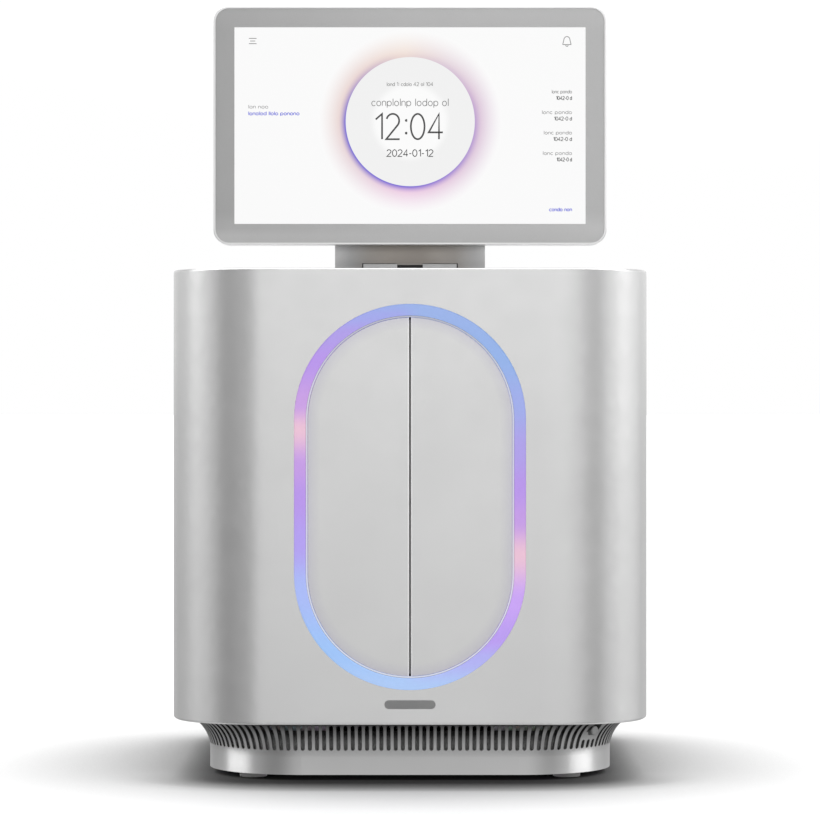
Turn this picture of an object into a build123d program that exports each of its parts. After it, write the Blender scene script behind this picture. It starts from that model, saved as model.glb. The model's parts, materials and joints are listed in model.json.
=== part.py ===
from build123d import *
import math
import os

# A benchtop laboratory instrument: a soft-cornered case on a recessed vented plinth, an upright
# oval doorway with a light ring and two doors, and a tilting touchscreen on top.
# Millimetres, +Z up, front towards -Y, origin on the bench under the middle of the case.

# ---- case ----
BODY_WIDTH = 400.0
BODY_DEPTH = 450.0
BODY_BOTTOM = 49.2
BODY_TOP = 426.0
CORNER_REACH = 91.0       # length of side taken up by a corner's curve
CORNER_POWER = 2.6        # superellipse power of the corners
CORNER_POINTS = 9
SHELL = 3.0
EDGE_ROUND = 2.0
LEDGE = 3.0               # inner ledge that carries the top cover
COVER_GAP = 0.3
BOTTOM_FLANGE = 30.0      # width of the inward flange under the case
COVER_ROUND = 0.6
FRONT = -BODY_DEPTH / 2
BACK = BODY_DEPTH / 2
CUT = 1.0                 # how far a cutter runs past the face it opens
BADGE_WIDTH = 42.0
BADGE_HEIGHT = 7.0
BADGE_Z = 66.0
BADGE_DEPTH = 1.0
BADGE_GAP = 0.15

# ---- plinth ----
PLINTH_HALF_X = 170.5
PLINTH_HALF_Y = 195.5
PLINTH_CORNER = 80.0
PLINTH_BOTTOM = 5.0
PLINTH_WALL = 3.0
FLARE_START = 20.0        # height where the wall begins to curve outwards
FLARE_RADIUS = 30.5
SLOT_WIDTH = 3.4
SLOT_REACH = 32.0         # how far out of the wall the slot cutters reach
SLOT_COUNT = 223
SLOT_BOTTOM = 25.2
SLOT_TOP = 47.2
SLOT_MARGIN = 0.8         # wall left between the button's scoop and the slots under it
TRAY_INSET = 12.0
TRAY_FLOOR = 2.0
TRAY_WALL = 2.0
WINDOW_X = 70.0           # half widths of the tray wall's air windows
WINDOW_Y = 95.0
FILTER_INSET = 6.5
FILTER_THICKNESS = 2.0
FILTER_TOP = 41.0
FOOT_RADIUS = 11.5
FOOT_ROUND = 0.8
FOOT_X = 132.0
FOOT_Y = 156.0

# ---- power button in the plinth's front right corner ----
BUTTON_ANGLE = -44.5
BUTTON_Z = 40.5
BUTTON_RADIUS = 4.2
BUTTON_FRONT = 90.4       # distances from the corner's centre
BUTTON_SCOOP = 86.6       # floor of the round scoop that the button stands in
SCOOP_RADIUS = 7.2
SCOOP_REACH = 20.0
BUTTON_BACK = 72.2
BUTTON_GAP = 0.25
BUTTON_ROUND = 1.2
HOUSING_RADIUS = 7.5
HOUSING_FRONT = 77.5
HOUSING_FLOOR = 70.4
HOUSING_BACK = 68.02

# ---- doorway: a stadium, two half circles joined by straight sides ----
DOORWAY_Z = 237.2
DOORWAY_STRAIGHT = 127.2
RING_OUTER = 95.6         # half widths of the stadium outlines
RING_INNER = 86.05
RING_GAP = 0.08
RING_DEPTH = 6.0
RING_ROUND = 1.2
BOARD_FRONT = FRONT + 7.6
BOARD_THICKNESS = 1.6
BOARD_INSET = 0.35
LED_COUNT = 60
LED_SIZE = 5.0
FRAME_FRONT = BOARD_FRONT + BOARD_THICKNESS
FRAME_THICKNESS = 3.0
FRAME_OUTER = 102.0
FRAME_INNER = 85.2
STANDOFF_RADIUS = 2.5
STANDOFF_LINE = 98.7      # half width of the stadium that the standoffs stand on
STANDOFF_COUNT = 6
LIP_INNER = 84.65         # the ring's thin rear lip shows through the gap round the doors
LIP_THICKNESS = 0.7
DOOR_GAP = 1.5
DOOR_SEAM = 1.6
DOOR_RECESS = 1.5
DOOR_THICKNESS = 3.0
DOOR_BACK = FRONT + DOOR_RECESS + DOOR_THICKNESS
LINER_HALF = 78.0         # half width of the stadium of the doors' inner panels
LINER_THICKNESS = 2.0
LINER_REACH = 64.0        # from the seam to the panel's far side
LINER_EDGE = 4.0
SEAL_EDGE = 0.15          # the seal's lip stops this far from the seam's middle
SEAL_THICKNESS = 1.2
SEAL_RISE = 146.0
DOOR_ROUND = 0.5
MAGNET_RADIUS = 4.0
MAGNET_THICKNESS = 2.0
MAGNET_X = 10.0
MAGNET_RISE = 134.0
STRIKER_HALF = 14.0       # steel tongues that the magnets pull on
STRIKER_RISE = 129.0
STRIKER_OVERLAP = 4.0
STRIKER_THICKNESS = 1.5

# ---- concealed gooseneck door hinges ----
HINGE_X = 109.6
HINGE_Y = FRONT + 9.0
HINGE_RISE = 50.0         # above and below the doorway's middle
ARM_HEIGHT = 12.0
ARM_RADIUS = 27.8
ARM_WIDTH = 4.0
ARM_SWEEP = 142.0
ARM_OVERRUN = 2.0         # angle by which the curve runs past the door's back
PAD_LENGTH = 16.0         # flat end that is fixed to the door's back
PAD_THICKNESS = 3.0
HUB_RADIUS = 5.0
PIN_RADIUS = 2.0
PIN_CLEARANCE = 0.03
LUG_THICKNESS = 3.0
LUG_GAP = 0.3
LUG_HALF_X = 8.2
LUG_SHIFT_X = -1.2
LUG_FRONT = -5.6
LUG_BACK = 4.5
LEG_X = 9.0               # leg from each lug back to the aperture frame
LEG_WIDTH = 4.0
WEB_X = -8.2
WEB_WIDTH = 2.4

# ---- bay behind the doors ----
BAY_OUTER = 84.0
BAY_WALL = 2.0
BAY_FRONT = FRAME_FRONT + FRAME_THICKNESS
BAY_BACK = -62.0
BAY_FLANGE = 92.0
FLOOR_TOP = 123.0
SHELF_TOP = 237.0
SHELF_THICKNESS = 3.0
SHELF_SETBACK = 16.0      # from the bay's front edge to the shelves
LOW_SHELF_HALF = 61.5
MIDDLE_SHELF_HALF = 81.8
PASS_HALF = 54.0          # the stage's way out through the bay's back and the bulkhead
PASS_TOP = 285.0
ARM_SLOT_DEPTH = 13.5
ARM_SLOT_HALF = 8.0

# ---- inner structure ----
DECK_TOP = 55.2
BULKHEAD_TOP = 405.0
BULKHEAD_HALF = 170.0
BULKHEAD_THICKNESS = 2.5
REAR_SHELF_BACK = 150.0
REAR_LEG_X = 150.0

# ---- rear panel ----
PANEL_HALF_X = 112.0
PANEL_BOTTOM = 62.0
PANEL_TOP = 413.0
PANEL_THICKNESS = 2.5
PANEL_BORDER = 8.0
PANEL_BACK = BACK - SHELL
FAN_X = 53.0
FAN_Z = 320.0
FAN_SIZE = 92.0
FAN_DEPTH = 25.4
FAN_BORE = 44.0
ROTOR_RADIUS = 42.5
ROTOR_HUB = 17.0
ROTOR_DEPTH = 20.0
ROTOR_INSET = 3.0         # from the fan frame's front to the rotor
BLADE_COUNT = 7
BLADE_WIDTH = 16.0
BLADE_THICKNESS = 1.6
BLADE_ANGLE = 35.0
GUARD_RADII = (12.0, 22.0, 32.0, 42.0)
GUARD_WIRE = 1.8
REAR_ROW_Z = 105.0        # middle height of the row of inlet, switch and ports
INLET_X = -78.0
INLET_HALF_X = 14.0
INLET_HALF_Z = 10.0
INLET_DEPTH = 22.0
INLET_PINS = ((-7.0, -2.0), (7.0, -2.0), (0.0, 3.0))
SWITCH_X = -42.0
SWITCH_HALF_X = 9.0
SWITCH_HALF_Z = 13.0
SWITCH_DEPTH = 18.0
ROCKER_HALF_X = 6.0
ROCKER_HALF_Z = 10.0
ROCKER_TILT = 6.0
ROCKER_AXIS_Y = PANEL_BACK - 4.0
ROCKER_PIVOT = 1.5        # radius of the rocker's pivot
ROCKER_DISH = 34.6        # radius of the rocker's hollow face
ROW_GAP = 0.2             # round everything let into the panel's lower row
PORT_PLACES = ((2.0, 15.0, 7.0), (26.0, 15.0, 7.0), (52.0, 17.0, 14.0), (78.0, 10.0, 5.0))
PORT_WALL = 0.8
VENT_ROWS = 5
VENT_COLUMNS = 9
SCREW_HEAD = 3.2

# ---- display and its neck ----
DISPLAY_WIDTH = 328.8
DISPLAY_HEIGHT = 199.5
DISPLAY_BOTTOM = 446.8
DISPLAY_CORNER = 13.0
DISPLAY_FRONT = -181.5
DISPLAY_RIM = 1.8
RIM_ROUND = 0.8
GLASS_GAP = 0.1
GLASS_FRONT = DISPLAY_FRONT + 0.5
GLASS_BACK = DISPLAY_FRONT + 2.5
PAGE_HALF_X = 152.0       # half sizes of the liquid crystal panel
PAGE_HALF_Z = 88.0
PANEL_DEPTH = 8.5
RIM_BACK = -163.0
HOUSING_REAR = -158.0
BACK_ROUND = 3.5
SEAT_WIDTH = 170.0        # raised seat that the neck is screwed to
SEAT_HEIGHT = 130.0
SEAT_CORNER = 14.0
SEAT_ROUND = 3.0
SEAT_Z = 535.0
GRILLE_COLUMNS = 9
GRILLE_PITCH = 16.0
GRILLE_ROWS = (612.0, 618.0)
NECK_HALF = 63.4
NECK_THICKNESS = 12.0
NECK_TOP = 575.0
NECK_CORNER = 18.0
NECK_ROUND = 3.0
TILT_Y = -140.0
TILT_Z = 424.0
KNUCKLE_RADIUS = 10.0
KNUCKLE_CLEARANCE = 0.3
KNUCKLE_FLAT = 6.3        # from the tilt axis to the fixed knuckles' flat front
NOTCH_HALF = 40.7
COLLAR_RADIUS = 8.5       # narrow collar outside each fixed knuckle
COLLAR_OUTER = 40.5
GROOVE_Z = 430.0          # shallow groove across the middle knuckle
GROOVE_HEIGHT = 1.2
GROOVE_DEPTH = 1.0
KNUCKLE_INNER = 11.0
KNUCKLE_OUTER = 39.5
CENTRE_KNUCKLE = 10.9
CENTRE_RADIUS = 7.0
CENTRE_DEPTH = 5.5
CENTRE_TOP = 436.0
TILT_PIN_RADIUS = 3.0
WELL_HALF_X = 65.0
WELL_HALF_Y = 13.0
WELL_FLOOR = 411.0
WELL_WALL = 3.0

# ---- flow cell stage, optics and fluidics ----
RAIL_X = 42.0
RAIL_WIDTH = 8.0
RAIL_TOP = 245.0
RAIL_FRONT = -196.0
RAIL_BACK = 90.0
CARRIAGE_Y = -145.0
CARRIAGE_TRAVEL = 150.0
CARRIAGE_TOP = 254.0
CARRIAGE_HALF_X = 50.0
CARRIAGE_HALF_Y = 40.0
IMAGING_Y = CARRIAGE_Y + CARRIAGE_TRAVEL
RUN_CLEARANCE = 0.05
SCREW_RADIUS = 4.0
SCREW_Z = 243.0
BEARING_HALF = 9.0
BEARING_LENGTH = 8.0
NUT_HALF = 15.0
HEATER_HALF_X = 26.0
HEATER_HALF_Y = 32.0
HEATER_HEIGHT = 12.0
FIN_LEVELS = (2.0, 5.0, 8.0)
CELL_HALF_X = 20.0
CELL_HALF_Y = 30.0
CELL_THICKNESS = 3.0
CELL_PORT_Y = 25.0
TOWER_HALF = 45.0
TOWER_FRONT = IMAGING_Y + 90.0
TOWER_DEPTH = 20.0
TOWER_TOP = 390.0
BRACKET_HALF = 30.0
BRACKET_BOTTOM = 320.0
BRACKET_TOP = 332.0
LENS_RADIUS = 15.0
LENS_STEPS = ((276.0, 280.0, 6.0), (279.0, 291.0, 10.0), (290.0, 338.0, 15.0), (300.0, 312.0, 18.0))
CAMERA_HALF = 26.0
CAMERA_BOTTOM = 345.0
CAMERA_TOP = 395.0
CAMERA_BACK = IMAGING_Y + 60.0
CAMERA_FINS = 5
SIPPER_ROD_X = 58.0
SIPPER_ROD_RADIUS = 3.0
SIPPER_Y = -138.0
SIPPER_BOTTOM = 214.0
NEEDLE_TIP = 193.0
NEEDLE_RADIUS = 1.0
MANIFOLD_HALF_X = 66.0
MANIFOLD_HALF_Y = 34.0
MANIFOLD_THICKNESS = 10.0
EAR_INNER = 50.0          # the manifold narrows to an ear round each guide rod
EAR_HALF_Y = 10.0
WELL_ROWS = (-24.0, 0.0, 24.0)
WELL_COLUMNS = (-33.0, -11.0, 11.0, 33.0)
WELL_RADIUS = 8.0
DRAWER_HALF = 50.0
DRAWER_FRONT = -194.0
DRAWER_BACK = -84.0
DRAWER_LIFT = 0.3
DRAWER_HEIGHT = 12.0
DRAWER_FLOOR = 2.5
CARTRIDGE_HALF = 47.5
CARTRIDGE_FRONT = -190.0
CARTRIDGE_BACK = -86.5
CARTRIDGE_TOP = 190.0

# ---- electronics and fluidics ----
SUPPLY_X = (-140.0, -50.0)
SUPPLY_Y = (20.0, 190.0)
SUPPLY_HEIGHT = 45.0
SUPPLY_SLOTS = 8
BOARD_X = (-20.0, 140.0)
BOARD_Y = (20.0, 190.0)
BOARD_LIFT = 8.0
SINK_FINS = 7
PLUNGER_X = 95.0
PLUNGER_Y = -7.0
PLUNGER_RADIUS = 6.0


# ---------------------------------------------------------------- shape helpers

def block(x0, x1, y0, y1, z0, z1):
    """A box between two opposite corners."""
    middle = Pos((x0 + x1) / 2, (y0 + y1) / 2, (z0 + z1) / 2)
    return middle * Box(x1 - x0, y1 - y0, z1 - z0)


def rod(start, direction, radius, length):
    """A round bar from start along direction."""
    return extrude(Plane(origin=start, z_dir=direction) * Circle(radius), amount=length)


def tube(start, direction, outer, inner, length):
    """A round tube from start along direction."""
    ring = Circle(outer) - Circle(inner)
    return extrude(Plane(origin=start, z_dir=direction) * ring, amount=length)


def prism(outline, bottom, top):
    """A plan outline raised from one height to another."""
    return Pos(0, 0, bottom) * extrude(outline, amount=top - bottom)


def upright(outline, y_front, y_back, x=0.0, z=0.0):
    """A front-view outline drawn out from one depth to another."""
    placed = Plane.XZ.offset(-y_back) * (Pos(x, z, 0) * outline)
    return extrude(placed, amount=y_back - y_front)


def stadium(half_width):
    """The doorway's outline at a given half width."""
    return Rot(0, 0, 90) * SlotOverall(DOORWAY_STRAIGHT + 2 * half_width, 2 * half_width)


def stadium_point(half_width, fraction):
    """A point (x, z) on the stadium, a fraction of the way round from the top, and its angle."""
    arc = math.pi * half_width
    runs = (arc / 2, DOORWAY_STRAIGHT, arc, DOORWAY_STRAIGHT, arc / 2)
    distance = fraction * sum(runs)
    rise = DOORWAY_STRAIGHT / 2
    run = 0
    while distance > runs[run]:
        distance -= runs[run]
        run += 1
    if run == 1:
        return half_width, rise - distance, 0.0
    if run == 3:
        return -half_width, distance - rise, 180.0
    start = (90.0, 0.0, 0.0, 0.0, 180.0)[run]
    centre = -rise if run == 2 else rise
    angle = math.radians(start - math.degrees(distance / half_width))
    return half_width * math.cos(angle), centre + half_width * math.sin(angle), math.degrees(angle)


def soft_rectangle(inset=0.0):
    """The case's plan: straight sides joined by superellipse corners, moved in by inset."""
    reach = CORNER_REACH - inset
    centre_x = BODY_WIDTH / 2 - CORNER_REACH
    centre_y = BODY_DEPTH / 2 - CORNER_REACH
    curve = []
    for step in range(CORNER_POINTS):
        angle = math.radians(90 * step / (CORNER_POINTS - 1))
        across = reach * abs(math.cos(angle)) ** (2 / CORNER_POWER)
        along = reach * abs(math.sin(angle)) ** (2 / CORNER_POWER)
        curve.append((centre_x + across, centre_y + along))
    corners = []
    for side_x, side_y in ((1, 1), (-1, 1), (-1, -1), (1, -1)):
        points = [(side_x * x, side_y * y) for x, y in curve]
        ends = [(0, side_y), (-side_x, 0)]
        if side_x != side_y:
            points.reverse()
            ends = [(side_x, 0), (0, -side_y)]
        corners.append(Spline(*points, tangents=ends))
    edges = []
    for index, corner in enumerate(corners):
        following = corners[(index + 1) % len(corners)]
        edges.append(corner.edge())
        edges.append(Edge.make_line(corner @ 1, following @ 0))
    return Face(Wire(edges))


def round_rectangle(half_x, half_y, radius):
    """A plan rectangle with round corners."""
    return RectangleRounded(2 * half_x, 2 * half_y, radius)


def left_and_right(shape):
    """A shape and its mirror image across the middle."""
    return shape, mirror(shape, about=Plane.YZ)


# ---------------------------------------------------------------- case

def body_shell():
    """Wrap-round case wall with a bottom flange, a ledge at the top, the doorway and the rear opening."""
    case = prism(soft_rectangle(), BODY_BOTTOM, BODY_TOP)
    ends = case.faces().sort_by(Axis.Z)
    case = fillet(ends[-1].edges() + ends[0].edges(), EDGE_ROUND)
    case -= prism(soft_rectangle(SHELL), BODY_BOTTOM + SHELL, BODY_TOP - 2 * LEDGE)
    case -= prism(soft_rectangle(SHELL + LEDGE), BODY_BOTTOM + SHELL, BODY_TOP)
    case -= prism(soft_rectangle(SHELL), BODY_TOP - LEDGE, BODY_TOP + CUT)
    flange_x = BODY_WIDTH / 2 - BOTTOM_FLANGE
    flange_y = BODY_DEPTH / 2 - BOTTOM_FLANGE
    case -= prism(round_rectangle(flange_x, flange_y, PLINTH_CORNER), BODY_BOTTOM - CUT, DECK_TOP)
    case -= upright(stadium(RING_OUTER), FRONT - CUT, FRONT + SHELL + CUT, z=DOORWAY_Z)
    case -= badge(BADGE_DEPTH, BADGE_GAP)
    rear_x = PANEL_HALF_X - PANEL_BORDER
    case -= block(-rear_x, rear_x, BACK - SHELL - CUT, BACK + CUT,
                  PANEL_BOTTOM + PANEL_BORDER, PANEL_TOP - PANEL_BORDER)
    return case


def badge(depth=BADGE_DEPTH, growth=0.0):
    """Blank pill-shaped nameplate let in flush under the doorway."""
    outline = SlotOverall(BADGE_WIDTH + 2 * growth, BADGE_HEIGHT + 2 * growth)
    return upright(outline, FRONT, FRONT + depth, z=BADGE_Z)


def top_cover():
    """Flat lid that drops into the case, with the opening for the display's hinge."""
    lid = prism(soft_rectangle(SHELL + COVER_GAP), BODY_TOP - LEDGE, BODY_TOP)
    lid = fillet(lid.faces().sort_by(Axis.Z)[-1].edges(), COVER_ROUND)
    lid -= block(-WELL_HALF_X, WELL_HALF_X, TILT_Y - WELL_HALF_Y, TILT_Y + WELL_HALF_Y,
                 BODY_TOP - LEDGE - CUT, BODY_TOP + CUT)
    return lid


# ---------------------------------------------------------------- plinth

def plinth_profile():
    """Section of the plinth's wall: x outwards from the wall's outer face, y up."""
    top = BODY_BOTTOM
    centre = (FLARE_RADIUS, FLARE_START)
    rise = top - FLARE_START

    def arc(radius):
        end_angle = 180 - math.degrees(math.asin(rise / radius))
        return CenterArc(centre, radius, 180, end_angle - 180)

    outer = arc(FLARE_RADIUS)
    inner = arc(FLARE_RADIUS + PLINTH_WALL)
    low = PLINTH_BOTTOM
    edges = [
        Line((0, low), outer @ 0),
        outer,
        Line(outer @ 1, inner @ 1),
        inner,
        Line(inner @ 0, (-PLINTH_WALL, low)),
        Line((-PLINTH_WALL, low), (0, low)),
    ]
    return make_face(Curve() + edges)


def plinth_sides():
    """The plinth's four sides: outward angle, distance from the middle and half length of its straight."""
    straight_x = PLINTH_HALF_X - PLINTH_CORNER
    straight_y = PLINTH_HALF_Y - PLINTH_CORNER
    return (
        (-90.0, PLINTH_HALF_Y, straight_x),
        (0.0, PLINTH_HALF_X, straight_y),
        (90.0, PLINTH_HALF_Y, straight_x),
        (180.0, PLINTH_HALF_X, straight_y),
    )


def plinth_ring():
    """The plinth's wall, one straight run and one turned corner for each side."""
    ring = None
    for angle, distance, half in plinth_sides():
        turn = Rot(0, 0, angle)
        section = Plane.XZ * plinth_profile()
        wall = turn * Pos(distance, half, 0) * extrude(section, amount=2 * half)
        swung = revolve(Pos(PLINTH_CORNER, 0, 0) * section, Axis.Z, revolution_arc=90)
        corner = turn * Pos(distance - PLINTH_CORNER, half, 0) * swung
        ring = wall + corner if ring is None else ring + wall + corner
    return ring


def plinth_station(distance):
    """Place and outward angle on the plinth's wall, a distance round it from the middle of the front."""
    arc = PLINTH_CORNER * math.pi / 2
    distance += plinth_sides()[0][2]
    for angle, reach, half in plinth_sides() * 2:
        if distance <= 2 * half:
            return Rot(0, 0, angle) * Pos(reach, distance - half, 0)
        distance -= 2 * half
        if distance <= arc:
            centre = Rot(0, 0, angle) * Pos(reach - PLINTH_CORNER, half, 0)
            return centre * Rot(0, 0, math.degrees(distance / PLINTH_CORNER)) * Pos(PLINTH_CORNER, 0, 0)
        distance -= arc


def vent_slot(top):
    """Cutter for one upright vent slot with round ends, pointing along +X."""
    outline = Rot(0, 0, 90) * SlotOverall(top - SLOT_BOTTOM, SLOT_WIDTH)
    inset = TRAY_INSET - TRAY_WALL
    cutter = extrude(Plane.YZ * outline, amount=inset + SLOT_REACH)
    return Pos(-inset, 0, (top + SLOT_BOTTOM) / 2) * cutter


def button_centre():
    """The centre of the plinth corner that holds the power button."""
    return PLINTH_HALF_X - PLINTH_CORNER, -(PLINTH_HALF_Y - PLINTH_CORNER)


def button_rod(radius, near, far):
    """A round bar on the button's axis between two distances from the corner's centre."""
    x, y = button_centre()
    angle = math.radians(BUTTON_ANGLE)
    direction = (math.cos(angle), math.sin(angle), 0)
    start = (x + near * direction[0], y + near * direction[1], BUTTON_Z)
    return rod(start, direction, radius, far - near)


def base_plinth():
    """Flared, slotted plinth wall; the slots are short where the power button sits."""
    arc = PLINTH_CORNER * math.pi / 2
    around = sum(2 * half + arc for _, _, half in plinth_sides())
    pitch = around / SLOT_COUNT
    straight = plinth_sides()[0][2]
    button_at = straight + PLINTH_CORNER * math.radians(90 + BUTTON_ANGLE)
    full = vent_slot(SLOT_TOP)
    short = vent_slot(BUTTON_Z - SCOOP_RADIUS - SLOT_MARGIN)
    cutters = []
    for index in range(SLOT_COUNT):
        distance = index * pitch
        beside_button = abs(distance - button_at) < SCOOP_RADIUS + SLOT_WIDTH
        cutters.append(plinth_station(distance) * (short if beside_button else full))
    wall = plinth_ring() - cutters
    reach = BUTTON_FRONT + SCOOP_REACH
    wall -= button_rod(SCOOP_RADIUS, BUTTON_SCOOP, reach)
    return wall - button_rod(BUTTON_RADIUS + BUTTON_GAP, HOUSING_BACK, reach)


def base_tray():
    """Pan inside the plinth: a floor, and a wall up to the deck with windows for the air."""
    floor_x = PLINTH_HALF_X - PLINTH_WALL - COVER_GAP
    floor_y = PLINTH_HALF_Y - PLINTH_WALL - COVER_GAP
    floor_corner = PLINTH_CORNER - PLINTH_WALL
    wall_x = PLINTH_HALF_X - TRAY_INSET
    wall_y = PLINTH_HALF_Y - TRAY_INSET
    wall_corner = PLINTH_CORNER - TRAY_INSET
    floor_top = PLINTH_BOTTOM + TRAY_FLOOR
    wall = prism(round_rectangle(wall_x, wall_y, wall_corner), floor_top, BODY_BOTTOM + SHELL)
    inner = round_rectangle(wall_x - TRAY_WALL, wall_y - TRAY_WALL, wall_corner - TRAY_WALL)
    wall -= prism(inner, floor_top, DECK_TOP)
    window_z = (SLOT_BOTTOM, SLOT_TOP - 1)
    wall -= block(-WINDOW_X, WINDOW_X, -BODY_DEPTH, BODY_DEPTH, *window_z)
    wall -= block(-BODY_WIDTH, BODY_WIDTH, -WINDOW_Y, WINDOW_Y, *window_z)
    return prism(round_rectangle(floor_x, floor_y, floor_corner), PLINTH_BOTTOM, floor_top) + wall


def intake_filter():
    """Filter band that stands behind the vent slots."""
    half_x = PLINTH_HALF_X - FILTER_INSET
    half_y = PLINTH_HALF_Y - FILTER_INSET
    corner = PLINTH_CORNER - FILTER_INSET
    inner = FILTER_THICKNESS
    band = round_rectangle(half_x, half_y, corner)
    band -= round_rectangle(half_x - inner, half_y - inner, corner - inner)
    band = prism(band, PLINTH_BOTTOM + TRAY_FLOOR, FILTER_TOP)
    return band - button_rod(HOUSING_RADIUS + 0.5, HOUSING_BACK - 2, HOUSING_FRONT)


def feet():
    """Four round feet under the tray."""
    pads = []
    for x in (-FOOT_X, FOOT_X):
        for y in (-FOOT_Y, FOOT_Y):
            pad = rod((x, y, 0), (0, 0, 1), FOOT_RADIUS, PLINTH_BOTTOM)
            pads.append(fillet(pad.edges().group_by(Axis.Z)[0], FOOT_ROUND))
    return pads


def power_button():
    """Push button with a rounded face, on the corner's radial line."""
    button = button_rod(BUTTON_RADIUS, BUTTON_BACK, BUTTON_FRONT)
    x, y = button_centre()
    face = button.edges().sort_by(lambda edge: (edge.center() - Vector(x, y, BUTTON_Z)).length)[-1]
    return fillet(face, BUTTON_ROUND)


def button_housing():
    """Cup with the switch that the power button runs in."""
    cup = button_rod(HOUSING_RADIUS, HOUSING_BACK, HOUSING_FRONT)
    return cup - button_rod(BUTTON_RADIUS + RUN_CLEARANCE, HOUSING_FLOOR, HOUSING_FRONT + CUT)


# ---------------------------------------------------------------- doorway

def stadium_ring(outer, inner, y_front, y_back):
    """A stadium-shaped frame."""
    return upright(stadium(outer) - stadium(inner), y_front, y_back, z=DOORWAY_Z)


def light_ring():
    """Translucent ring round the doorway."""
    ring = stadium_ring(RING_OUTER - RING_GAP, RING_INNER, FRONT, FRONT + RING_DEPTH)
    ring = fillet(ring.faces().sort_by(Axis.Y)[0].edges(), RING_ROUND)
    back = FRONT + RING_DEPTH
    return ring + stadium_ring(RING_INNER + 1, LIP_INNER, back - LIP_THICKNESS, back)


def light_ring_board():
    """Circuit board behind the ring, carrying its row of LEDs."""
    outer = RING_OUTER - BOARD_INSET
    board = stadium_ring(outer, RING_INNER + BOARD_INSET, BOARD_FRONT, FRAME_FRONT)
    middle = (RING_OUTER + RING_INNER) / 2
    half = LED_SIZE / 2
    for index in range(LED_COUNT):
        x, z, angle = stadium_point(middle, (index + 0.5) / LED_COUNT)
        led = block(-half, half, FRONT + RING_DEPTH + RING_GAP, BOARD_FRONT, -half, half)
        board += Pos(x, 0, DOORWAY_Z + z) * Rot(0, -angle, 0) * led
    return board


def aperture_frame():
    """Plate that carries the ring, its board and the door hinges, on standoffs from the case."""
    frame = stadium_ring(FRAME_OUTER, FRAME_INNER, FRAME_FRONT, FRAME_FRONT + FRAME_THICKNESS)
    for index in range(STANDOFF_COUNT):
        x, z, _ = stadium_point(STANDOFF_LINE, (index + 0.5) / STANDOFF_COUNT)
        start = (x, FRONT + SHELL, DOORWAY_Z + z)
        frame += rod(start, (0, 1, 0), STANDOFF_RADIUS, FRAME_FRONT - FRONT - SHELL)
    root = DOORWAY_STRAIGHT / 2 + FRAME_INNER + STRIKER_OVERLAP
    for side in (-1, 1):
        ends = sorted((DOORWAY_Z + side * STRIKER_RISE, DOORWAY_Z + side * root))
        back = FRAME_FRONT + STRIKER_THICKNESS
        frame += block(-STRIKER_HALF, STRIKER_HALF, FRAME_FRONT, back, *ends)
    return frame


def left_door():
    """Left half of the door, a flat leaf set just behind the case's front."""
    half = RING_INNER - DOOR_GAP
    leaf = upright(stadium(half), FRONT + DOOR_RECESS, DOOR_BACK, z=DOORWAY_Z)
    leaf &= block(-half - CUT, -DOOR_SEAM / 2, FRONT, 0, 0, BODY_TOP)
    return fillet(leaf.faces().sort_by(Axis.Y)[0].edges(), DOOR_ROUND)


def left_door_liner():
    """Stiffening panel on the back of the left door."""
    panel = upright(stadium(LINER_HALF), DOOR_BACK, DOOR_BACK + LINER_THICKNESS, z=DOORWAY_Z)
    panel &= block(-LINER_REACH, -LINER_EDGE, FRONT, 0, 0, BODY_TOP)
    low, high = DOORWAY_Z - SEAL_RISE, DOORWAY_Z + SEAL_RISE
    back = DOOR_BACK + SEAL_THICKNESS
    return panel + block(-LINER_EDGE - CUT, -SEAL_EDGE, DOOR_BACK, back, low, high)


def left_door_magnets():
    """Two round magnets that hold the left door shut."""
    start = DOOR_BACK + LINER_THICKNESS
    places = [(-MAGNET_X, start, DOORWAY_Z + side * MAGNET_RISE) for side in (-1, 1)]
    return [rod(place, (0, 1, 0), MAGNET_RADIUS, MAGNET_THICKNESS) for place in places]


def hinge_heights():
    """Middle heights of the lower and upper hinge."""
    return DOORWAY_Z - HINGE_RISE, DOORWAY_Z + HINGE_RISE


def left_hinge_arms():
    """Gooseneck arms: each curves about its pin, so it leaves the doorway along its own line."""
    curve = SlotArc(CenterArc((0, 0), ARM_RADIUS, -ARM_OVERRUN, ARM_SWEEP), ARM_WIDTH)
    spoke = Rectangle(ARM_RADIUS - ARM_WIDTH / 2, ARM_WIDTH)
    link = Rot(0, 0, ARM_SWEEP - ARM_OVERRUN) * (Pos(ARM_RADIUS / 2 + ARM_WIDTH / 4, 0) * spoke)
    inner = ARM_RADIUS - ARM_WIDTH / 2
    pad_front = DOOR_BACK - HINGE_Y
    pad = Pos(inner + PAD_LENGTH / 2, pad_front + PAD_THICKNESS / 2) * Rectangle(PAD_LENGTH, PAD_THICKNESS)
    arm = curve + link + pad + Circle(HUB_RADIUS) - Circle(PIN_RADIUS + PIN_CLEARANCE)
    arms = []
    for z in hinge_heights():
        arms.append(Pos(-HINGE_X, HINGE_Y, z - ARM_HEIGHT / 2) * extrude(arm, amount=ARM_HEIGHT))
    return arms


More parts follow.
